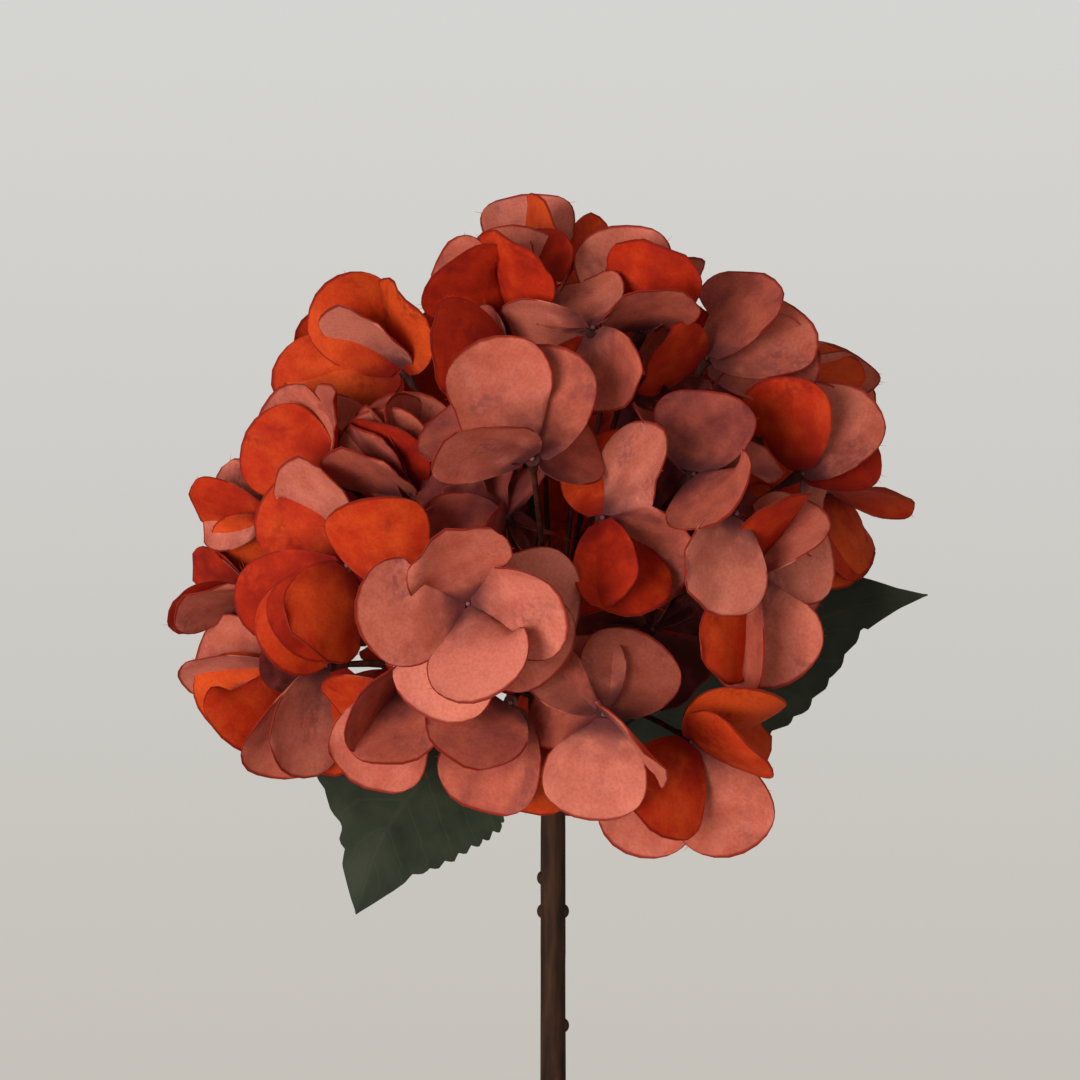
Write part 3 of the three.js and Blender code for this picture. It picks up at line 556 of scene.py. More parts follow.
def trials():
    """Every way that a petal may have given, as (bend, roll, size), the least change first."""
    ways = []
    for size in GIVEN_SIZES:
        for bend in GIVEN_BENDS:
            for roll in GIVEN_ROLLS:
                ways.append((abs(bend) / 8 + abs(roll) / 14 + (1 - size) * 10, bend, roll, size))
    ways.sort(key=lambda way: way[0])
    return [way[1:] for way in ways]


def found_petal(petal, tree, ways):
    """The petal as the node has it, known by where its tip lies, or None where the node leaves it out."""
    half = PETAL_THICKNESS / 2
    for way in ways:
        candidate = given(petal, *way)
        if tree.find(petal_point(candidate, 1, 0, half) * MM)[2] > SAME_PLACE * MM:
            continue
        # its tip has six corners, and four of them have to be there
        spots = [petal_point(candidate, 1, column, lift) for column in (-1, 0, 1) for lift in (half, -half)]
        near = [tree.find(spot * MM)[2] for spot in spots]
        if sorted(near)[3] < SAME_PLACE * MM:
            return candidate
    return None


def meeting_edges(lobes, axis):
    """For each lobe, the side on which it meets a neighbour round the axis, the neighbour, and the neighbour's side."""
    one = axis.orthogonal().normalized()
    two = axis.cross(one)
    turns = [math.atan2(lobe["along"].dot(two), lobe["along"].dot(one)) for lobe in lobes]
    order = sorted(range(len(lobes)), key=lambda i: turns[i])
    meets = {i: [] for i in order}
    for a, b in zip(order, order[1:] + order[:1]):
        gap = math.degrees(turns[b] - turns[a]) % 360
        # both have to face with the floret, because a lobe on edge has no side to share
        open_faces = min(lobes[a]["facing"].dot(axis), lobes[b]["facing"].dot(axis)) > 0.1
        if a == b or not JOINED_TURNS[0] < gap < JOINED_TURNS[1] or not open_faces:
            continue
        ends = [(i, j) for i in (-1, 1) for j in (-1, 1)]
        side, other = min(ends, key=lambda end: (
            petal_point(lobes[a], 0.4, end[0], 0) - petal_point(lobes[b], 0.4, end[1], 0)).length)
        if not any(own == side for own, _, _ in meets[a]) and not any(own == other for own, _, _ in meets[b]):
            meets[a].append((side, lobes[b], other))
            meets[b].append((other, lobes[a], side))
    return meets


def under_layer(upper, axis):
    """A second layer half a turn between the lobes of the first, as far under it as two cloths need."""
    lower = []
    for first, second in zip(upper, upper[1:] + upper[:1]):
        between = first["along"] + second["along"]
        # lobes that point nearly opposite ways have no between
        if between.length < 0.8 or first is second:
            continue
        along = (between.normalized() - axis * 0.15).normalized()
        facing = first["facing"] + second["facing"]
        facing = facing - along * facing.dot(along)
        # nor have lobes that face different ways
        if facing.length < 0.5:
            continue
        lower.append({**first, "along": along, "facing": facing.normalized(),
                      "root": first["root"] - axis * LAYER_GAP, "layer": "lower", "curl": -0.15})
    return lower


# ---- Materials ----

COLOUR = {"data_type": "RGBA", "clamp_result": True}  # a Mix node's, with sockets 0, 6 and 7, and output 2
SMOOTH = {"interpolation_type": "SMOOTHSTEP"}  # a Map Range node's: value, from low, from high, to low, to high


def add_node(tree, kind, links=(), output=0, stops=(), **settings):
    """Adds a node with its settings, inputs and colour stops. An input is a value or another node's output."""
    item = tree.nodes.new("ShaderNode" + kind)
    for key, value in settings.items():
        setattr(item, key, value)
    for socket, value in links.items() if isinstance(links, dict) else enumerate(links):
        if isinstance(value, bpy.types.NodeSocket):
            tree.links.new(value, item.inputs[socket])
        else:
            item.inputs[socket].default_value = value
    elements = item.color_ramp.elements if stops else ()
    while len(elements) < len(stops):
        elements.new(0.5)
    for element, (place, code) in zip(elements, stops):
        element.position, element.color = place, linear(code)
    return item.outputs[output] if item.outputs else item


def new_material(name):
    """A material without nodes, and the function that adds one to it."""
    material = bpy.data.materials.new(name)
    material.use_nodes = True
    material.node_tree.nodes.clear()
    return material, partial(add_node, material.node_tree)


def across_and_along(add):
    """The piece's UV place, its parts across and along, and how far it lies from the midline, 0 to 1."""
    uv = add("UVMap", uv_map="UVMap")
    across, along = (add("SeparateXYZ", (uv,), part) for part in "XY")
    centred = add("Math", (add("Math", (across, 2.0), operation="MULTIPLY"), 1.0), operation="SUBTRACT")
    return uv, across, along, add("Math", (centred,), operation="ABSOLUTE")


def petal_cloth(name, *, light, deep, mark, inner, smear, heart, edge, glow):
    """Die-cut polyester petal cloth, dip-dyed: a fine weave, a streaky dye that pools at the heart, a burnt edge, and
    painted shade at the heart and in the darkest tones.
    """
    material, add = new_material(name)
    uv, across, along, side = across_and_along(add)
    place = add("TexCoord", output="Object")
    tint = add("Attribute", output="Fac", attribute_name="tint")
    # dye clouds 5 mm wide, and grain of 0.7 mm, coarser than the real 0.3 mm weave so that it shows
    clouds = add("TexNoise", {"Vector": place, "Scale": 190.0, "Detail": 3.0})
    grain = add("TexNoise", {"Vector": place, "Scale": 1400.0, "Detail": 2.0})
    # streaks that run out from the heart, of another pattern on each lobe
    spots = [add("Math", pair, operation="MULTIPLY") for pair in ((across, 4.5), (along, 1.6), (tint, 37.0))]
    streaks = add("TexNoise", {"Vector": add("CombineXYZ", spots), "Scale": 1.0, "Detail": 2.0})
    # how deep the dye is: from the clouds, the streaks and the lobe's own tint; its last stop, inner, is painted shade
    # for the tones over 1
    shares = [add("Math", pair, operation="MULTIPLY") for pair in ((clouds, 0.35), (streaks, 0.25), (tint, 0.45))]
    depth = add("Math", (add("Math", shares[:2], operation="ADD"), shares[2]), operation="ADD")
    dye = add("ValToRGB", (depth,), stops=((0.35, light), (0.58, deep), (0.78, mark), (0.95, inner)))
    # the dye that gathers round the heart, clouded, and with it painted shade deep at the root where the lobes meet
    root_dye_and_shade = add("MapRange", (along, 0.5, 0.05, 0.0, 0.6), **SMOOTH)
    root_dye_and_shade = add("Math", (root_dye_and_shade, add("MapRange", (clouds, 0.2, 0.6), **SMOOTH)), operation="MULTIPLY")
    dye = add("Mix", {0: root_dye_and_shade, 6: dye, 7: linear(heart)}, 2, **COLOUR)
    # smudges of deeper dye, speckled, in patches about 13 mm wide
    patches = add("TexNoise", {"Vector": place, "Scale": 75.0, "Detail": 2.0})
    specks = add("TexNoise", {"Vector": place, "Scale": 620.0, "Detail": 4.0})
    patches = add("MapRange", (patches, 0.52, 0.7), **SMOOTH)
    specks = add("MapRange", (specks, 0.4, 0.62, 0.1, 0.55), **SMOOTH)
    smudge = add("Math", (patches, specks), operation="MULTIPLY")
    dye = add("Mix", {0: smudge, 6: dye, 7: linear(smear)}, 2, **COLOUR)
    # the dark eye, then the grain, then the burnt edge, which starts where the lobes part
    eye = add("MapRange", (along, 0.2, 0.03, 0.0, 0.85), **SMOOTH)
    dye = add("Mix", {0: eye, 6: dye, 7: linear(heart)}, 2, **COLOUR)
    grain = add("MapRange", (grain, 0.3, 0.75, 0.0, 0.22), **SMOOTH)
    dye = add("Mix", {0: grain, 6: dye, 7: linear(mark)}, 2, blend_type="MULTIPLY", **COLOUR)
    outer = add("Math", (side, along), operation="MAXIMUM")
    rim = add("MapRange", (outer, 0.93, 0.98, 0.0, 0.9), **SMOOTH)
    rim = add("Math", (rim, add("MapRange", (along, 0.36, 0.42), **SMOOTH)), operation="MULTIPLY")
    dye = add("Mix", {0: rim, 6: dye, 7: linear(edge)}, 2, **COLOUR)
    # the relief: warp and weft, and the streaks
    warp, weft = (add("TexWave", {"Vector": uv, "Scale": 11.0, "Distortion": 0.3}, "Fac", bands_direction=way)
                  for way in "XY")
    weave = add("Math", (add("Math", (warp, weft), operation="ADD"), 0.12), operation="MULTIPLY")
    relief = add("Math", (weave, add("Math", (streaks, 2.0), operation="MULTIPLY")), operation="ADD")
    normal = add("Bump", {"Height": relief, "Strength": 0.25, "Distance": 0.0002})
    cloth = add("BsdfPrincipled", {"Base Color": dye, "Roughness": 0.8, "Normal": normal, "Specular IOR Level": 0.2})
    # light comes through the thin cloth, redder than it went in
    through = add("BsdfTranslucent", {"Color": add("Mix", {0: 0.6, 6: dye, 7: linear(glow)}, 2, **COLOUR)})
    add("OutputMaterial", {"Surface": add("MixShader", (0.28, cloth, through))})
    return material


def moulded_plastic(name, light, dark, roughness):
    """Matt moulded polyethylene, its colour rubbed unevenly, as on the wired stem and twigs."""
    material, add = new_material(name)
    # rubbed streaks 2 mm wide that run up the stem
    stretched = add("Mapping", {"Vector": add("TexCoord", output="Object"), "Scale": (1, 1, 0.15)})
    streaks = add("TexNoise", {"Vector": stretched, "Scale": 500.0, "Detail": 4.0})
    colour = add("ValToRGB", (streaks,), stops=((0.35, dark), (0.68, light)))
    normal = add("Bump", {"Height": streaks, "Strength": 0.3, "Distance": 0.0002})
    plastic = add("BsdfPrincipled", {
        "Base Color": colour, "Roughness": roughness, "IOR": 1.5, "Specular IOR Level": 0.12, "Normal": normal})
    add("OutputMaterial", {"Surface": plastic})
    return material


def leaf_cloth(name, settings):
    """Pressed polyester leaf cloth with a latex finish: dark green and matt, with veins pressed into it."""
    material, add = new_material(name)
    _, _, along, side = across_and_along(add)
    place = add("TexCoord", output="Object")
    midrib = add("MapRange", (side, 0.05, 0.0), **SMOOTH)
    # eight pairs of side veins, about 10 mm apart, that lean towards the tip
    lean = add("Math", (side, VEIN_LEAN), operation="MULTIPLY")
    turns = add("Math", (add("Math", (along, lean), operation="SUBTRACT"), VEIN_RATE), operation="MULTIPLY")
    wave = add("Math", (turns,), operation="SINE")
    veins = add("Math", (add("MapRange", (wave, 0.93, 1.0, 0.0, 0.7), **SMOOTH), midrib), operation="MAXIMUM")
    # clouds 8 mm wide and a latex grain under 1 mm
    clouds = add("TexNoise", {"Vector": place, "Scale": 120.0, "Detail": 4.0})
    grain = add("TexNoise", {"Vector": place, "Scale": 1300.0, "Detail": 2.0})
    colour = add("ValToRGB", (clouds,), stops=((0.3, settings.leaf_dark), (0.7, settings.leaf_light)))
    pale = add("Math", (veins, 0.1), operation="MULTIPLY")
    colour = add("Mix", {0: pale, 6: colour, 7: linear(settings.leaf_vein)}, 2, **COLOUR)
    raised, pressed = (add("Math", pair, operation="MULTIPLY") for pair in ((grain, 0.25), (veins, 0.4)))
    relief = add("Math", (raised, pressed), operation="SUBTRACT")
    normal = add("Bump", {"Height": relief, "Strength": 0.25, "Distance": 0.0003})
    cloth = add("BsdfPrincipled", {"Base Color": colour, "Roughness": 0.7, "Normal": normal, "Specular IOR Level": 0.3})
    add("OutputMaterial", {"Surface": cloth})
    return material


def jar_glass(name, colour):
    """Pressed soda-lime glass: clear, IOR 1.52, with the faintest green in its thickness."""
    material, add = new_material(name)
    # slow waves of 20 mm, as a pressed jar has
    waves = add("TexNoise", {"Vector": add("TexCoord", output="Object"), "Scale": 50.0, "Detail": 1.0})
    normal = add("Bump", {"Height": waves, "Strength": 0.1, "Distance": 0.001})
    glass = add("BsdfPrincipled", {"Base Color": linear(colour), "Roughness": 0.02, "IOR": 1.52,
                                   "Transmission Weight": 1.0, "Normal": normal})
    add("OutputMaterial", {"Surface": glass})
    return material


def matt_paper(name, colour):
    """Matt studio paper with a barely visible tooth."""
    material, add = new_material(name)
    tooth = add("TexNoise", {"Vector": add("TexCoord", output="Object"), "Scale": 600.0, "Detail": 2.0})
    normal = add("Bump", {"Height": tooth, "Strength": 0.05, "Distance": 0.0002})
    add("OutputMaterial", {"Surface": add("BsdfPrincipled", {
        "Base Color": linear(colour), "Roughness": 0.9, "Normal": normal})})
    return material


# ---- Settings ----

def colour_property(name, code, description):
    return bpy.props.StringProperty(name=name, description=description + ", as an sRGB hex colour", default=code)


def length_property(name, length, description, **limits):
    return bpy.props.FloatProperty(name=name, description=description, default=length, unit="LENGTH", **limits)


def power_property(name, power, description):
    return bpy.props.FloatProperty(name=name, description=description, default=power, unit="POWER")


class PetalSettings(bpy.types.PropertyGroup):
    face_light: colour_property("Face, light", "#DE8069", "The face of a petal where the dye is thinnest")
    face_deep: colour_property("Face, deep", "#C4614A", "The face of a petal where the dye is deeper")
    face_mark: colour_property("Face, marks", "#8E3E38", "Marks and clouds on the face")
    # inner: painted shade, the darkest colour, for the florets deep in the head and in its hollows
    inner: colour_property("Inner petals", "#4A120E", "The deepest dye, of the petals inside the head")
    smear: colour_property("Smudges", "#7A3F42", "Smudges of deeper dye on the face")
    # heart: dye at the root of a petal, and also painted shade where the lobes meet
    heart: colour_property("Heart", "#5A2A2C", "The dye that pools at the root of a petal")
    back_light: colour_property("Back, light", "#E2541A", "The back of a petal where the dye is thinnest")
    back_deep: colour_property("Back, deep", "#C22E08", "The back of a petal where the dye is deeper")
    back_mark: colour_property("Back, marks", "#881004", "Marks and clouds on the back")
    edge: colour_property("Edge", "#861A0A", "The burnt edge of a petal")
    face_glow: colour_property("Glow, face", "#E83010", "Light through a petal to its face")
    back_glow: colour_property("Glow, back", "#F03800", "Light through a petal to its back")
    boss: colour_property("Boss", "#4A2420", "Rubbed places on the boss at a floret's centre")
    boss_dark: colour_property("Boss, dark", "#2A1210", "The boss's own colour")
    pip: colour_property("Pip", "#7A4A46", "Rubbed places on the pip on the boss")
    pip_dark: colour_property("Pip, dark", "#3A1C1C", "The pip's own colour")
    cloth: length_property("Cloth", 0.3 * MM, "Thickness of the petal cloth", min=0.1 * MM, max=1 * MM)
    ruffle: length_property("Ruffle", 0.7 * MM, "How far a petal's edge waves", min=0, max=2 * MM)
    threads: bpy.props.IntProperty(name="Threads", description="Loose threads on each lobe", default=3, min=0, max=12)
    fullness: bpy.props.FloatProperty(
        name="Fullness", description="Lower is broader near the root", default=0.75, min=0.5, max=2)
    base: length_property("Base", 7 * MM, "Breadth of a lobe at its root", min=1 * MM, max=10 * MM)


class GreenerySettings(bpy.types.PropertyGroup):
    stem_light: colour_property("Stem, light", "#3C2416", "Rubbed places on the stem")
    stem_dark: colour_property("Stem, dark", "#22140B", "The stem's own brown")
    twig_light: colour_property("Twig, light", "#52241A", "Rubbed places on the floret wires")
    twig_dark: colour_property("Twig, dark", "#2A100A", "The floret wires' own colour")
    leaf_light: colour_property("Leaf, light", "#2C3120", "Lighter clouds on the leaves")
    leaf_dark: colour_property("Leaf, dark", "#1B2011", "Darker clouds on the leaves")
    leaf_vein: colour_property("Leaf veins", "#4A5238", "The veins of the leaves")
    cloth: length_property("Cloth", 0.6 * MM, "Thickness of the leaf cloth", min=0.2 * MM, max=1.5 * MM)


class JarSettings(bpy.types.PropertyGroup):
    glass: colour_property("Glass", "#F4FBF8", "The tint of the glass")
    height: length_property("Height", 142 * MM, "Height of the jar")
    body: length_property("Body", 43 * MM, "Radius of the body")
    foot: length_property("Foot", 38 * MM, "Radius of the foot")
    neck: length_property("Neck", 30 * MM, "Radius of the neck")
    lip: length_property("Lip", 32 * MM, "Radius of the lip")
    wall: length_property("Wall", 3.2 * MM, "Thickness of the wall")


class StudioSettings(bpy.types.PropertyGroup):
    paper: colour_property("Paper", "#DEDEDA", "The floor")
    room: colour_property("Room", "#D6D6D4", "The pale room, above eye level")
    low: colour_property("Room, low", "#C4C0B8", "The pale room, near the floor")
    dim: colour_property("Ceiling", "#4E4C4A", "The ceiling and the ground")
    white: colour_property("White light", "#FFFFFF", "Daylight")
    warm: colour_property("Warm light", "#FFF4EA", "Light off the room's walls")
    floor: length_property("Floor", 0.72, "Radius of the floor")
    distance: length_property("Camera distance", 0.62, "From the camera to the middle of the head")
    lens: bpy.props.FloatProperty(
        name="Lens", description="Focal length on a 36 mm wide sensor", default=82.67, subtype="DISTANCE_CAMERA")
    key: power_property("Key light", 16.5, "The window on the left")
    fill: power_property("Fill light", 1, "The room from the right")
    back: power_property("Back light", 2, "The room behind")
    top: power_property("Top light", 4, "The ceiling")


# ---- Operators ----

class HYDRANGEA_OT_florets(bpy.types.Operator):
    """Cuts the lobes of every floret from cloth, layer on layer, round its eye"""
    bl_idname = "hydrangea.florets"
    bl_label = "Florets"

    def execute(self, context):
        settings = context.scene.hydrangea_petals
        self.settings = settings
        # inner is painted shade; the heart colours, the back's being its marks' colour, are partly painted shade at the
        # root
        shared = {"inner": settings.inner, "edge": settings.edge}
        cloths = [
            petal_cloth("Dip-dyed petal cloth, face", light=settings.face_light, deep=settings.face_deep,
                        mark=settings.face_mark, smear=settings.smear, heart=settings.heart,
                        glow=settings.face_glow, **shared),
            petal_cloth("Dip-dyed petal cloth, back", light=settings.back_light, deep=settings.back_deep,
                        mark=settings.back_mark, smear=settings.back_mark, heart=settings.back_mark,
                        glow=settings.back_glow, **shared),
            moulded_plastic("Polyethylene boss", settings.boss, settings.boss_dark, 0.6),
            moulded_plastic("Polyethylene pip", settings.pip, settings.pip_dark, 0.6),
        ]
        pattern = shaped_grid("petal_pattern", 8, 9, lambda x, y: Vector((x, y, 0)))
        for cloth in cloths:
            pattern.data.materials.append(cloth)
        pattern.data.attributes.new("tint", "FLOAT", "POINT")
        eye = self.eye_pattern(cloths)
        thread = self.thread_pattern(cloths)
        # the solids that a second layer of lobes has to clear
        self.solids = {
            name: BVHTree.FromPolygons([node.matrix_world @ vertex.co for vertex in node.data.vertices],
                                       [face.vertices[:] for face in node.data.polygons])
            for name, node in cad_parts.items() if name.startswith(("floret", "leaf"))
        }
        ways = trials()
        for number, floret in enumerate([*FLORETS, *back_florets()], start=1):
            self.floret(pattern, eye, thread, floret, number, ways)
        only(pattern, eye, thread)
        bpy.ops.object.delete()
        return {"FINISHED"}

    def eye_pattern(self, cloths):
        """A dark boss with a small round pip on it, upright about the origin."""
        bpy.ops.object.select_all(action="DESELECT")
        bpy.ops.mesh.primitive_cone_add(
            vertices=10, radius1=0.9 * MM, radius2=1.7 * MM, depth=4.6 * MM, location=(0, 0, -2.6 * MM))
        boss = bpy.context.object
        bpy.ops.object.transform_apply(location=True)
        bpy.ops.mesh.primitive_uv_sphere_add(segments=10, ring_count=6, radius=0.6 * MM, location=(0, 0, 0.3 * MM))
        ball = bpy.context.object
        bpy.ops.object.transform_apply(location=True)
        for item, index in ((boss, 2), (ball, 3)):
            for cloth in cloths:
                item.data.materials.append(cloth)
            for face in item.data.polygons:
                face.material_index = index
        return joined([boss, ball], "eye_pattern")

    @staticmethod
    def thread_pattern(cloths):
        """A loose thread of the weave, 1 mm long, upright on the origin."""
        bpy.ops.object.select_all(action="DESELECT")
        bpy.ops.mesh.primitive_cone_add(vertices=3, radius1=0.07 * MM, depth=1 * MM, location=(0, 0, 0.5 * MM))
        thread = bpy.context.object
        bpy.ops.object.transform_apply(location=True)
        for cloth in cloths:
            thread.data.materials.append(cloth)
        for face in thread.data.polygons:
            face.material_index = 1
        thread.data.attributes.new("tint", "FLOAT", "POINT")
        return thread

    def floret(self, pattern, eye, thread, floret, number, ways):
        """The two sheets of a floret, on the petals that its node has, with its eye and its loose threads."""
        name = f"floret_{floret['name']}"
        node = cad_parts[name]
        corners = [node.matrix_world @ vertex.co for vertex in node.data.vertices]
        tree = kdtree.KDTree(len(corners))
        for i, corner in enumerate(corners):
            tree.insert(corner, i)
        tree.balance()
        draw = random_from(number + CLOTH_SEED)
        hub = Vector(floret["hub"])
        axis = wire_of(hub)[2]
        found = [found_petal(petal, tree, ways) or petal for petal in petals_of(floret, number)]
        upper = [petal for petal in found if petal["layer"] == "upper"]
        lower = [petal for petal in found if petal["layer"] == "lower"]
        if not lower:
            others = [solid for other, solid in self.solids.items() if other != name]
            lower = [cleared for lobe in under_layer(upper, axis) if (cleared := self.cleared(lobe, others))]
        tone = floret.get("tone", 0.5)
        layers = []
        for lobes in (upper, lower):
            meets = meeting_edges(lobes, axis)
            cut = [self.cut_lobe(pattern, lobe, meets[i], draw, tone) for i, lobe in enumerate(lobes)]
            if cut:
                layers.append(self.sheet(cut, name))
        item = joined(layers, name + "_lobes")
        smooth(item, 60)
        middle = planted(copied(eye), hub, axis)
        threads = [self.fray(thread, lobe, draw) for lobe in upper + lower for _ in range(self.settings.threads)]
        item = joined([item, middle, *threads], name + "_lobes")
        finish_piece(item, "petals", name)

    def cleared(self, lobe, others):
        """The lobe, made smaller until a rough one meets no other solid, or None where no size does."""
        fullness, base = self.settings.fullness, self.settings.base / MM
        side = SKETCH + 1
        quads = [(side * i + j, side * i + j + 1, side * (i + 1) + j + 1, side * (i + 1) + j)
                 for i in range(SKETCH) for j in range(SKETCH)]
        for size in UNDER_SIZES:
            smaller = {**lobe, "length": lobe["length"] * size, "breadth": lobe["breadth"] * size}
            points = [petal_point(smaller, 0.1 + 0.9 * i / SKETCH, 2 * j / SKETCH - 1, 0, fullness, base) * MM
                      for i in range(side) for j in range(side)]
            rough = BVHTree.FromPolygons(points, quads)
            if not any(rough.overlap(other) for other in others):
                return smaller
        return None

    def sheet(self, cut, name):
        """The lobes of a layer, welded where they meet into one die-cut sheet, with the thickness of the cloth."""
        sheet = joined(cut, name + "_sheet")
        bpy.ops.object.mode_set(mode="EDIT")
        bpy.ops.mesh.select_all(action="SELECT")
        bpy.ops.mesh.remove_doubles(threshold=0.02 * MM)
        bpy.ops.object.mode_set(mode="OBJECT")
        apply_modifier(sheet, "SOLIDIFY", thickness=self.settings.cloth, offset=0, material_offset=1)
        return sheet

    def cut_lobe(self, pattern, lobe, meets, draw, tone):
        """One lobe of its own mesh, its edge a little waved, with its own depth of dye, painted shade where the tone is
        over 1.
        """
        item = copied(pattern)
        waves = 1.2 + 1.3 * draw()
        start = 6.3 * draw()
        depth = self.settings.ruffle / MM * (0.3 + draw())
        tint = max(0, tone + 0.5 * (draw() - 0.5))
        fullness, base = self.settings.fullness, self.settings.base / MM
        for vertex in pattern.data.vertices:
            x, y = vertex.co.x / MM, vertex.co.y / MM
            # more of the rows and columns lie near the edge, where the outline bends most
            row = 1 - max(0, 1 - y) ** 1.25
            column = math.sin((1 - 2 * x) * math.pi / 2) * 0.35 + (1 - 2 * x) * 0.65
            # the edge waves only beyond where the lobes are joined
            loose = min(1, max(0, (row - JOINED) / 0.3))
            outer = max(abs(column), row) ** 3 * loose
            lift = depth * outer * math.sin(start + waves * math.pi * (column * row + (1 - row) * 0.5))
            point = petal_point(lobe, row, column, lift, fullness, base)
            # up to about there each side is drawn to halfway between it and its neighbour's
            for side, other, other_side in meets:
                reach = max(0, column * side)
                hold = min(1, max(0, (JOINED + 0.15 - row) / 0.12))
                if reach and hold:
                    own = petal_point(lobe, row, side, 0, fullness, base)
                    theirs = petal_point(other, row, other_side, 0, fullness, base)
                    point += (theirs - own) * 0.5 * hold * reach ** 1.5
            item.data.vertices[vertex.index].co = point * MM
        values = item.data.attributes["tint"].data
        for i in range(len(values)):
            values[i].value = tint
        return item

    def fray(self, thread, lobe, draw):
        """A loose thread that stands out from the edge of a lobe."""
        item = copied(thread)
        fullness, base = self.settings.fullness, self.settings.base / MM
        row, side = 0.7 + 0.3 * draw(), 1 if draw() < 0.5 else -1
        column = side if row < 0.98 else 2 * draw() - 1
        foot = petal_point(lobe, row, column, 0, fullness, base)
        inside = petal_point(lobe, row - 0.12, column * 0.7, 0, fullness, base)
        slant = Vector((draw() - 0.5, draw() - 0.5, draw() - 0.5))
        way = ((foot - inside).normalized() + slant * 0.9).normalized()
        item.data.transform(Matrix.Diagonal((1, 1, 0.8 + 1.6 * draw(), 1)))
        return planted(item, foot, way)


class HYDRANGEA_OT_stem(bpy.types.Operator):
    """Draws the stem with its nubs, the crown and the twigs that carry the florets"""
    bl_idname = "hydrangea.stem"
    bl_label = "Stem and twigs"

    def execute(self, context):
        settings = context.scene.hydrangea_greenery
        brown = moulded_plastic("Wired polyethylene stem", settings.stem_light, settings.stem_dark, 0.75)
        russet = moulded_plastic("Wired polyethylene twig", settings.twig_light, settings.twig_dark, 0.9)
        route = [Vector(p) for p in STEM_ROUTE]
        steps = 90
        centres = [curve_point(route, i / steps) for i in range(steps + 1)]
        radii = [STEM_RADIUS - STEM_TAPER * i / steps for i in range(steps + 1)]
        draw = random_from(STEM_SEED)
        # one value for each eighth of the way round, used for six rows at a time
        wobble = [[draw() for _ in range(9)] for _ in range(steps // 6 + 1)]
        main = tube("stem_rod", centres, radii, 16,
                    lambda k, x: 1 + 0.03 * (wobble[k // 6][int(x * 8)] - 0.5))
        parts = [main]
        for height, side in NUBS:
            at = min(centres, key=lambda c: abs(c.z - height))
            bpy.ops.mesh.primitive_uv_sphere_add(segments=12, ring_count=8, radius=NUB_RADIUS * MM)
            nub = bpy.context.object
            nub.scale = (1, 1, 1.25)
            nub.location = (at + Vector((side * NUB_OUT, 0, 0))) * MM
            bpy.ops.object.transform_apply(location=True, scale=True)
            parts.append(nub)
        stem = joined(parts, "stem_with_nubs")
        stem.data.materials.clear()
        stem.data.materials.append(brown)
        smooth(stem, 60)
        finish_piece(stem, "stem", "stem")

        twigs = [shaped_grid("crown", 20, len(CROWN) - 1, self.crown_place, closed=True)]
        for floret in [*FLORETS, *back_florets()]:
            start, bend, _, end = wire_of(Vector(floret["hub"]))
            path = [start.lerp(bend, t).lerp(bend.lerp(end, t), t) for t in (0, 0.12, 0.25, 0.4, 0.55, 0.7, 0.85, 1)]
            twigs.append(tube("twig", path, [WIRE_RADIUS] * len(path), 8))
        bundle = joined(twigs, "floret_twigs")
        bundle.data.materials.clear()
        bundle.data.materials.append(russet)
        smooth(bundle, 60)
        finish_piece(bundle, "stem", "stem")
        return {"FINISHED"}

    @staticmethod
    def crown_place(x, y):
        """A place on the crown, turned from its profile."""
        radius, height = CROWN[round(y * (len(CROWN) - 1))]
        angle = 2 * math.pi * x
        return CROWN_CENTRE + Vector((radius * math.cos(angle), radius * math.sin(angle), height))


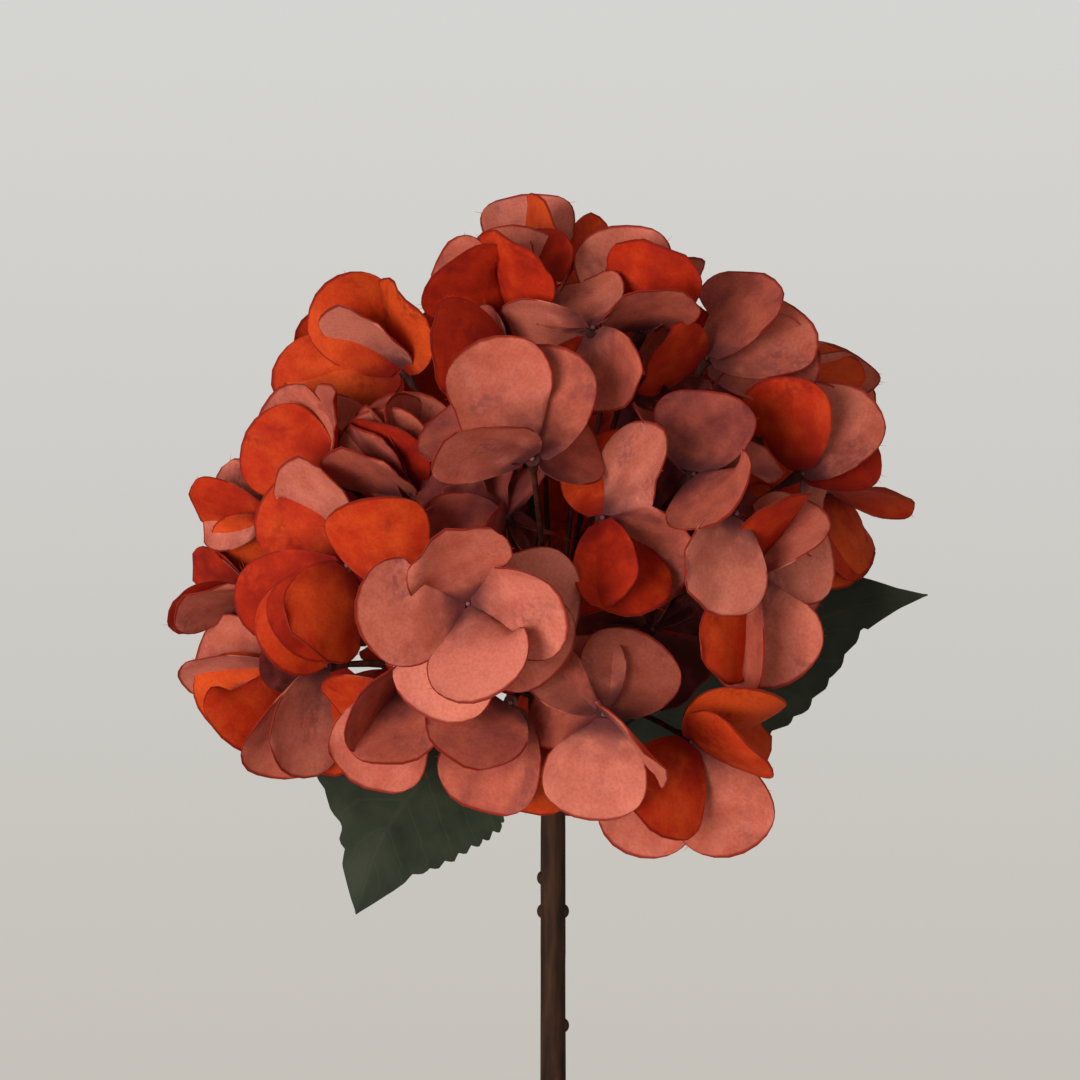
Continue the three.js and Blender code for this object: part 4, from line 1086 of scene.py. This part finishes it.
class HYDRANGEA_OT_leaves(bpy.types.Operator):
    """Cuts the two serrated leaves, arched along the midrib, on their stalks"""
    bl_idname = "hydrangea.leaves"
    bl_label = "Leaves"

    def execute(self, context):
        settings = context.scene.hydrangea_greenery
        green = leaf_cloth("Pressed leaf cloth", settings)
        for shape in LEAVES:
            self.leaf(shape, green, settings)
        return {"FINISHED"}

    def leaf(self, shape, green, settings):
        """The blade, folded along its midrib and waved at the veins, with its stalk."""
        midrib = Curve(shape["route"])
        steps = shape["teeth"] * 6
        rows = []
        for i in range(steps + 1):
            share = i / steps
            along = midrib.way(share)
            across = Vector(shape["across"])
            across = (across - along * across.dot(along)).normalized()
            halves = [self.breadth(shape, share, side) for side in (-1, 1)]
            rows.append((midrib.at(share), across, along.cross(across), halves))

        def place(x, y):
            centre, across, normal, halves = rows[round(y * steps)]
            column = 2 * x - 1
            half = halves[column > 0]
            # the relief of the veins, less of it near the midrib and where the blade is narrow
            veins = VEIN_RISE * math.sin((y - VEIN_LEAN * abs(column)) * VEIN_RATE)
            veins *= min(1, abs(column) * 3) * min(1, half / 10)
            return weighted((centre, 1), (across, column * half), (normal, abs(column) * half * shape["fold"] + veins))

        blade = shaped_grid(shape["name"] + "_blade", 12, steps, place)
        blade.data.materials.append(green)
        apply_modifier(blade, "SOLIDIFY", thickness=settings.cloth, offset=0)
        stalk_path = Curve([shape["stalk"], midrib.at(0), midrib.at(0.12)])
        centres = [stalk_path.at(i / 10) for i in range(11)]
        stalk = tube("stalk", centres, [1.35 - 0.05 * i for i in range(11)], 10)
        stalk.data.materials.append(green)
        leaf = joined([blade, stalk], shape["name"] + "_cloth")
        smooth(leaf, 50)
        finish_piece(leaf, "leaf", shape["name"])

    @staticmethod
    def breadth(shape, share, side):
        """The breadth of one side at a share of the length, with saw teeth that point to the tip."""
        column = 1 if side < 0 else 2
        breadth = 0.0
        for low, high in zip(shape["outline"], shape["outline"][1:]):
            if low[0] <= share <= high[0]:
                breadth = low[column] + (high[column] - low[column]) * (share - low[0]) / (high[0] - low[0])
        phase = share * shape["teeth"] % 1
        tooth = TOOTH_DEPTH * (phase / 0.75 if phase < 0.75 else (1 - phase) / 0.25)
        if share > shape["smooth_tip"]:
            tooth = TOOTH_DEPTH
        return max(0.15, breadth - TOOTH_DEPTH + tooth)


class HYDRANGEA_OT_jar(bpy.types.Operator):
    """Turns the clear glass jar"""
    bl_idname = "hydrangea.jar"
    bl_label = "Jar"

    def execute(self, context):
        s = context.scene.hydrangea_jar
        height, body, foot, neck, lip, wall = (v / MM for v in (s.height, s.body, s.foot, s.neck, s.lip, s.wall))
        mouth = neck - wall
        outer = [
            (0, 1.6), (foot * 0.72, 1.6), (foot * 0.8, 0), (foot - 3, 0), (foot - 0.8, 0.9), (foot, 2.5),
            (foot + 1.5, 5), (body - 1, 11), (body, 14), (body, 102), (body - 0.8, 106), (body - 3, 110),
            (neck + 6, 116), (neck + 2.4, 119.5), (neck + 0.6, 122), (neck, 125), (neck, height - 7.5),
            (neck + 0.6, height - 6.6), (lip - 0.6, height - 5.4), (lip, height - 4), (lip, height - 1.8),
            (lip - 0.6, height - 0.5), (lip - 1.8, height),
        ]
        inner = [
            (mouth + 1.2, height), (mouth + 0.3, height - 0.5), (mouth, height - 1.6), (mouth, 124.5),
            (mouth + 0.8, 121.5), (mouth + 3, 118), (mouth + 8, 112), (body - wall - 1, 104), (body - wall, 100),
            (body - wall, 15), (body - wall - 1.5, 11), (foot - wall, 7.5), (foot - wall - 2, 6.2), (foot - 12, 6),
            (0, 6.3),
        ]
        profile = outer + inner

        def place(x, y):
            radius, up = profile[round(y * (len(profile) - 1))]
            return Vector((radius * math.cos(2 * math.pi * x), radius * math.sin(2 * math.pi * x), up))

        jar = shaped_grid("glass_jar", 72, len(profile) - 1, place, closed=True)
        jar.data.materials.append(jar_glass("Pressed soda-lime glass", s.glass))
        smooth(jar, 35)
        finish_piece(jar, "glass", "jar")
        return {"FINISHED"}


class HYDRANGEA_OT_studio(bpy.types.Operator):
    """Sets the pale floor, the soft lights and the camera"""
    bl_idname = "hydrangea.studio"
    bl_label = "Studio"

    def execute(self, context):
        s = context.scene.hydrangea_studio
        bpy.ops.object.select_all(action="DESELECT")
        bpy.ops.mesh.primitive_circle_add(vertices=96, radius=s.floor, fill_type="NGON")
        floor = bpy.context.object
        floor.name = "paper_floor"
        floor.data.materials.append(matt_paper("Matt studio paper", s.paper))

        self.light("window", (-0.6, -1.1, 0.2), 0.55, s.key, s.white)
        self.light("room", (1.3, -1.0, 0.55), 1.3, s.fill, s.warm)
        self.light("back", (0.5, 1.35, 0.75), 1.4, s.back, s.white)
        self.light("ceiling", (0.1, -0.2, 1.7), 1.4, s.top, s.white)

        world = bpy.data.worlds.new("Pale room")
        world.use_nodes = True
        add = partial(add_node, world.node_tree)
        height = add("SeparateXYZ", (add("TexCoord", output="Generated"),), "Z")
        # a pale room to eye level and a little above, with a dimmer ceiling and ground
        height = add("MapRange", (height, -1.0, 1.0), **SMOOTH)
        room = add("ValToRGB", (height,), stops=((0.19, s.dim), (0.32, s.low), (0.68, s.room), (0.81, s.dim)))
        world.node_tree.links.new(room, world.node_tree.nodes["Background"].inputs["Color"])
        context.scene.world = world

        # level, in front of the head, a touch left of its middle and below it
        bpy.ops.object.camera_add(location=(-3.25 * MM, 0.03 - s.distance, 297 * MM), rotation=(math.pi / 2, 0, 0))
        camera = context.object
        camera.name = "camera"
        camera.data.lens = s.lens
        camera.data.sensor_width = 36
        camera.data.clip_start = 0.01
        context.scene.camera = camera
        context.scene.view_settings.view_transform = "Standard"
        return {"FINISHED"}

    def light(self, name, place, size, power, colour):
        """A soft square light, aimed at the head."""
        bpy.ops.object.light_add(type="AREA", location=place)
        lamp = bpy.context.object
        lamp.name = name
        lamp.data.size = size
        lamp.data.energy = power
        lamp.data.color = linear(colour)[:3]
        lamp.rotation_euler = (AIM - Vector(place)).to_track_quat("-Z", "Y").to_euler()


class HYDRANGEA_PT_panel(bpy.types.Panel):
    bl_idname = "HYDRANGEA_PT_panel"
    bl_label = "Hydrangea in a jar"
    bl_space_type = "VIEW_3D"
    bl_region_type = "UI"
    bl_category = "Hydrangea"

    def draw(self, context):
        for operator in OPERATORS:
            self.layout.operator(operator.bl_idname)


OPERATORS = (
    HYDRANGEA_OT_studio, HYDRANGEA_OT_jar, HYDRANGEA_OT_stem, HYDRANGEA_OT_leaves, HYDRANGEA_OT_florets,
)
SETTINGS = {
    "hydrangea_petals": PetalSettings, "hydrangea_greenery": GreenerySettings, "hydrangea_jar": JarSettings,
    "hydrangea_studio": StudioSettings,
}


def register():
    for group in (*SETTINGS.values(), *OPERATORS, HYDRANGEA_PT_panel):
        bpy.utils.register_class(group)
    for name, group in SETTINGS.items():
        setattr(bpy.types.Scene, name, bpy.props.PointerProperty(type=group))


def unregister():
    for name in SETTINGS:
        delattr(bpy.types.Scene, name)
    for group in (HYDRANGEA_PT_panel, *reversed(OPERATORS), *SETTINGS.values()):
        bpy.utils.unregister_class(group)


def main():
    register()
    bpy.ops.object.select_all(action="DESELECT")
    bpy.ops.hydrangea.studio()
    bpy.ops.hydrangea.jar()
    bpy.ops.hydrangea.stem()
    bpy.ops.hydrangea.leaves()
    bpy.ops.hydrangea.florets()
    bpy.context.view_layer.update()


if __name__ == "__main__":
    main()
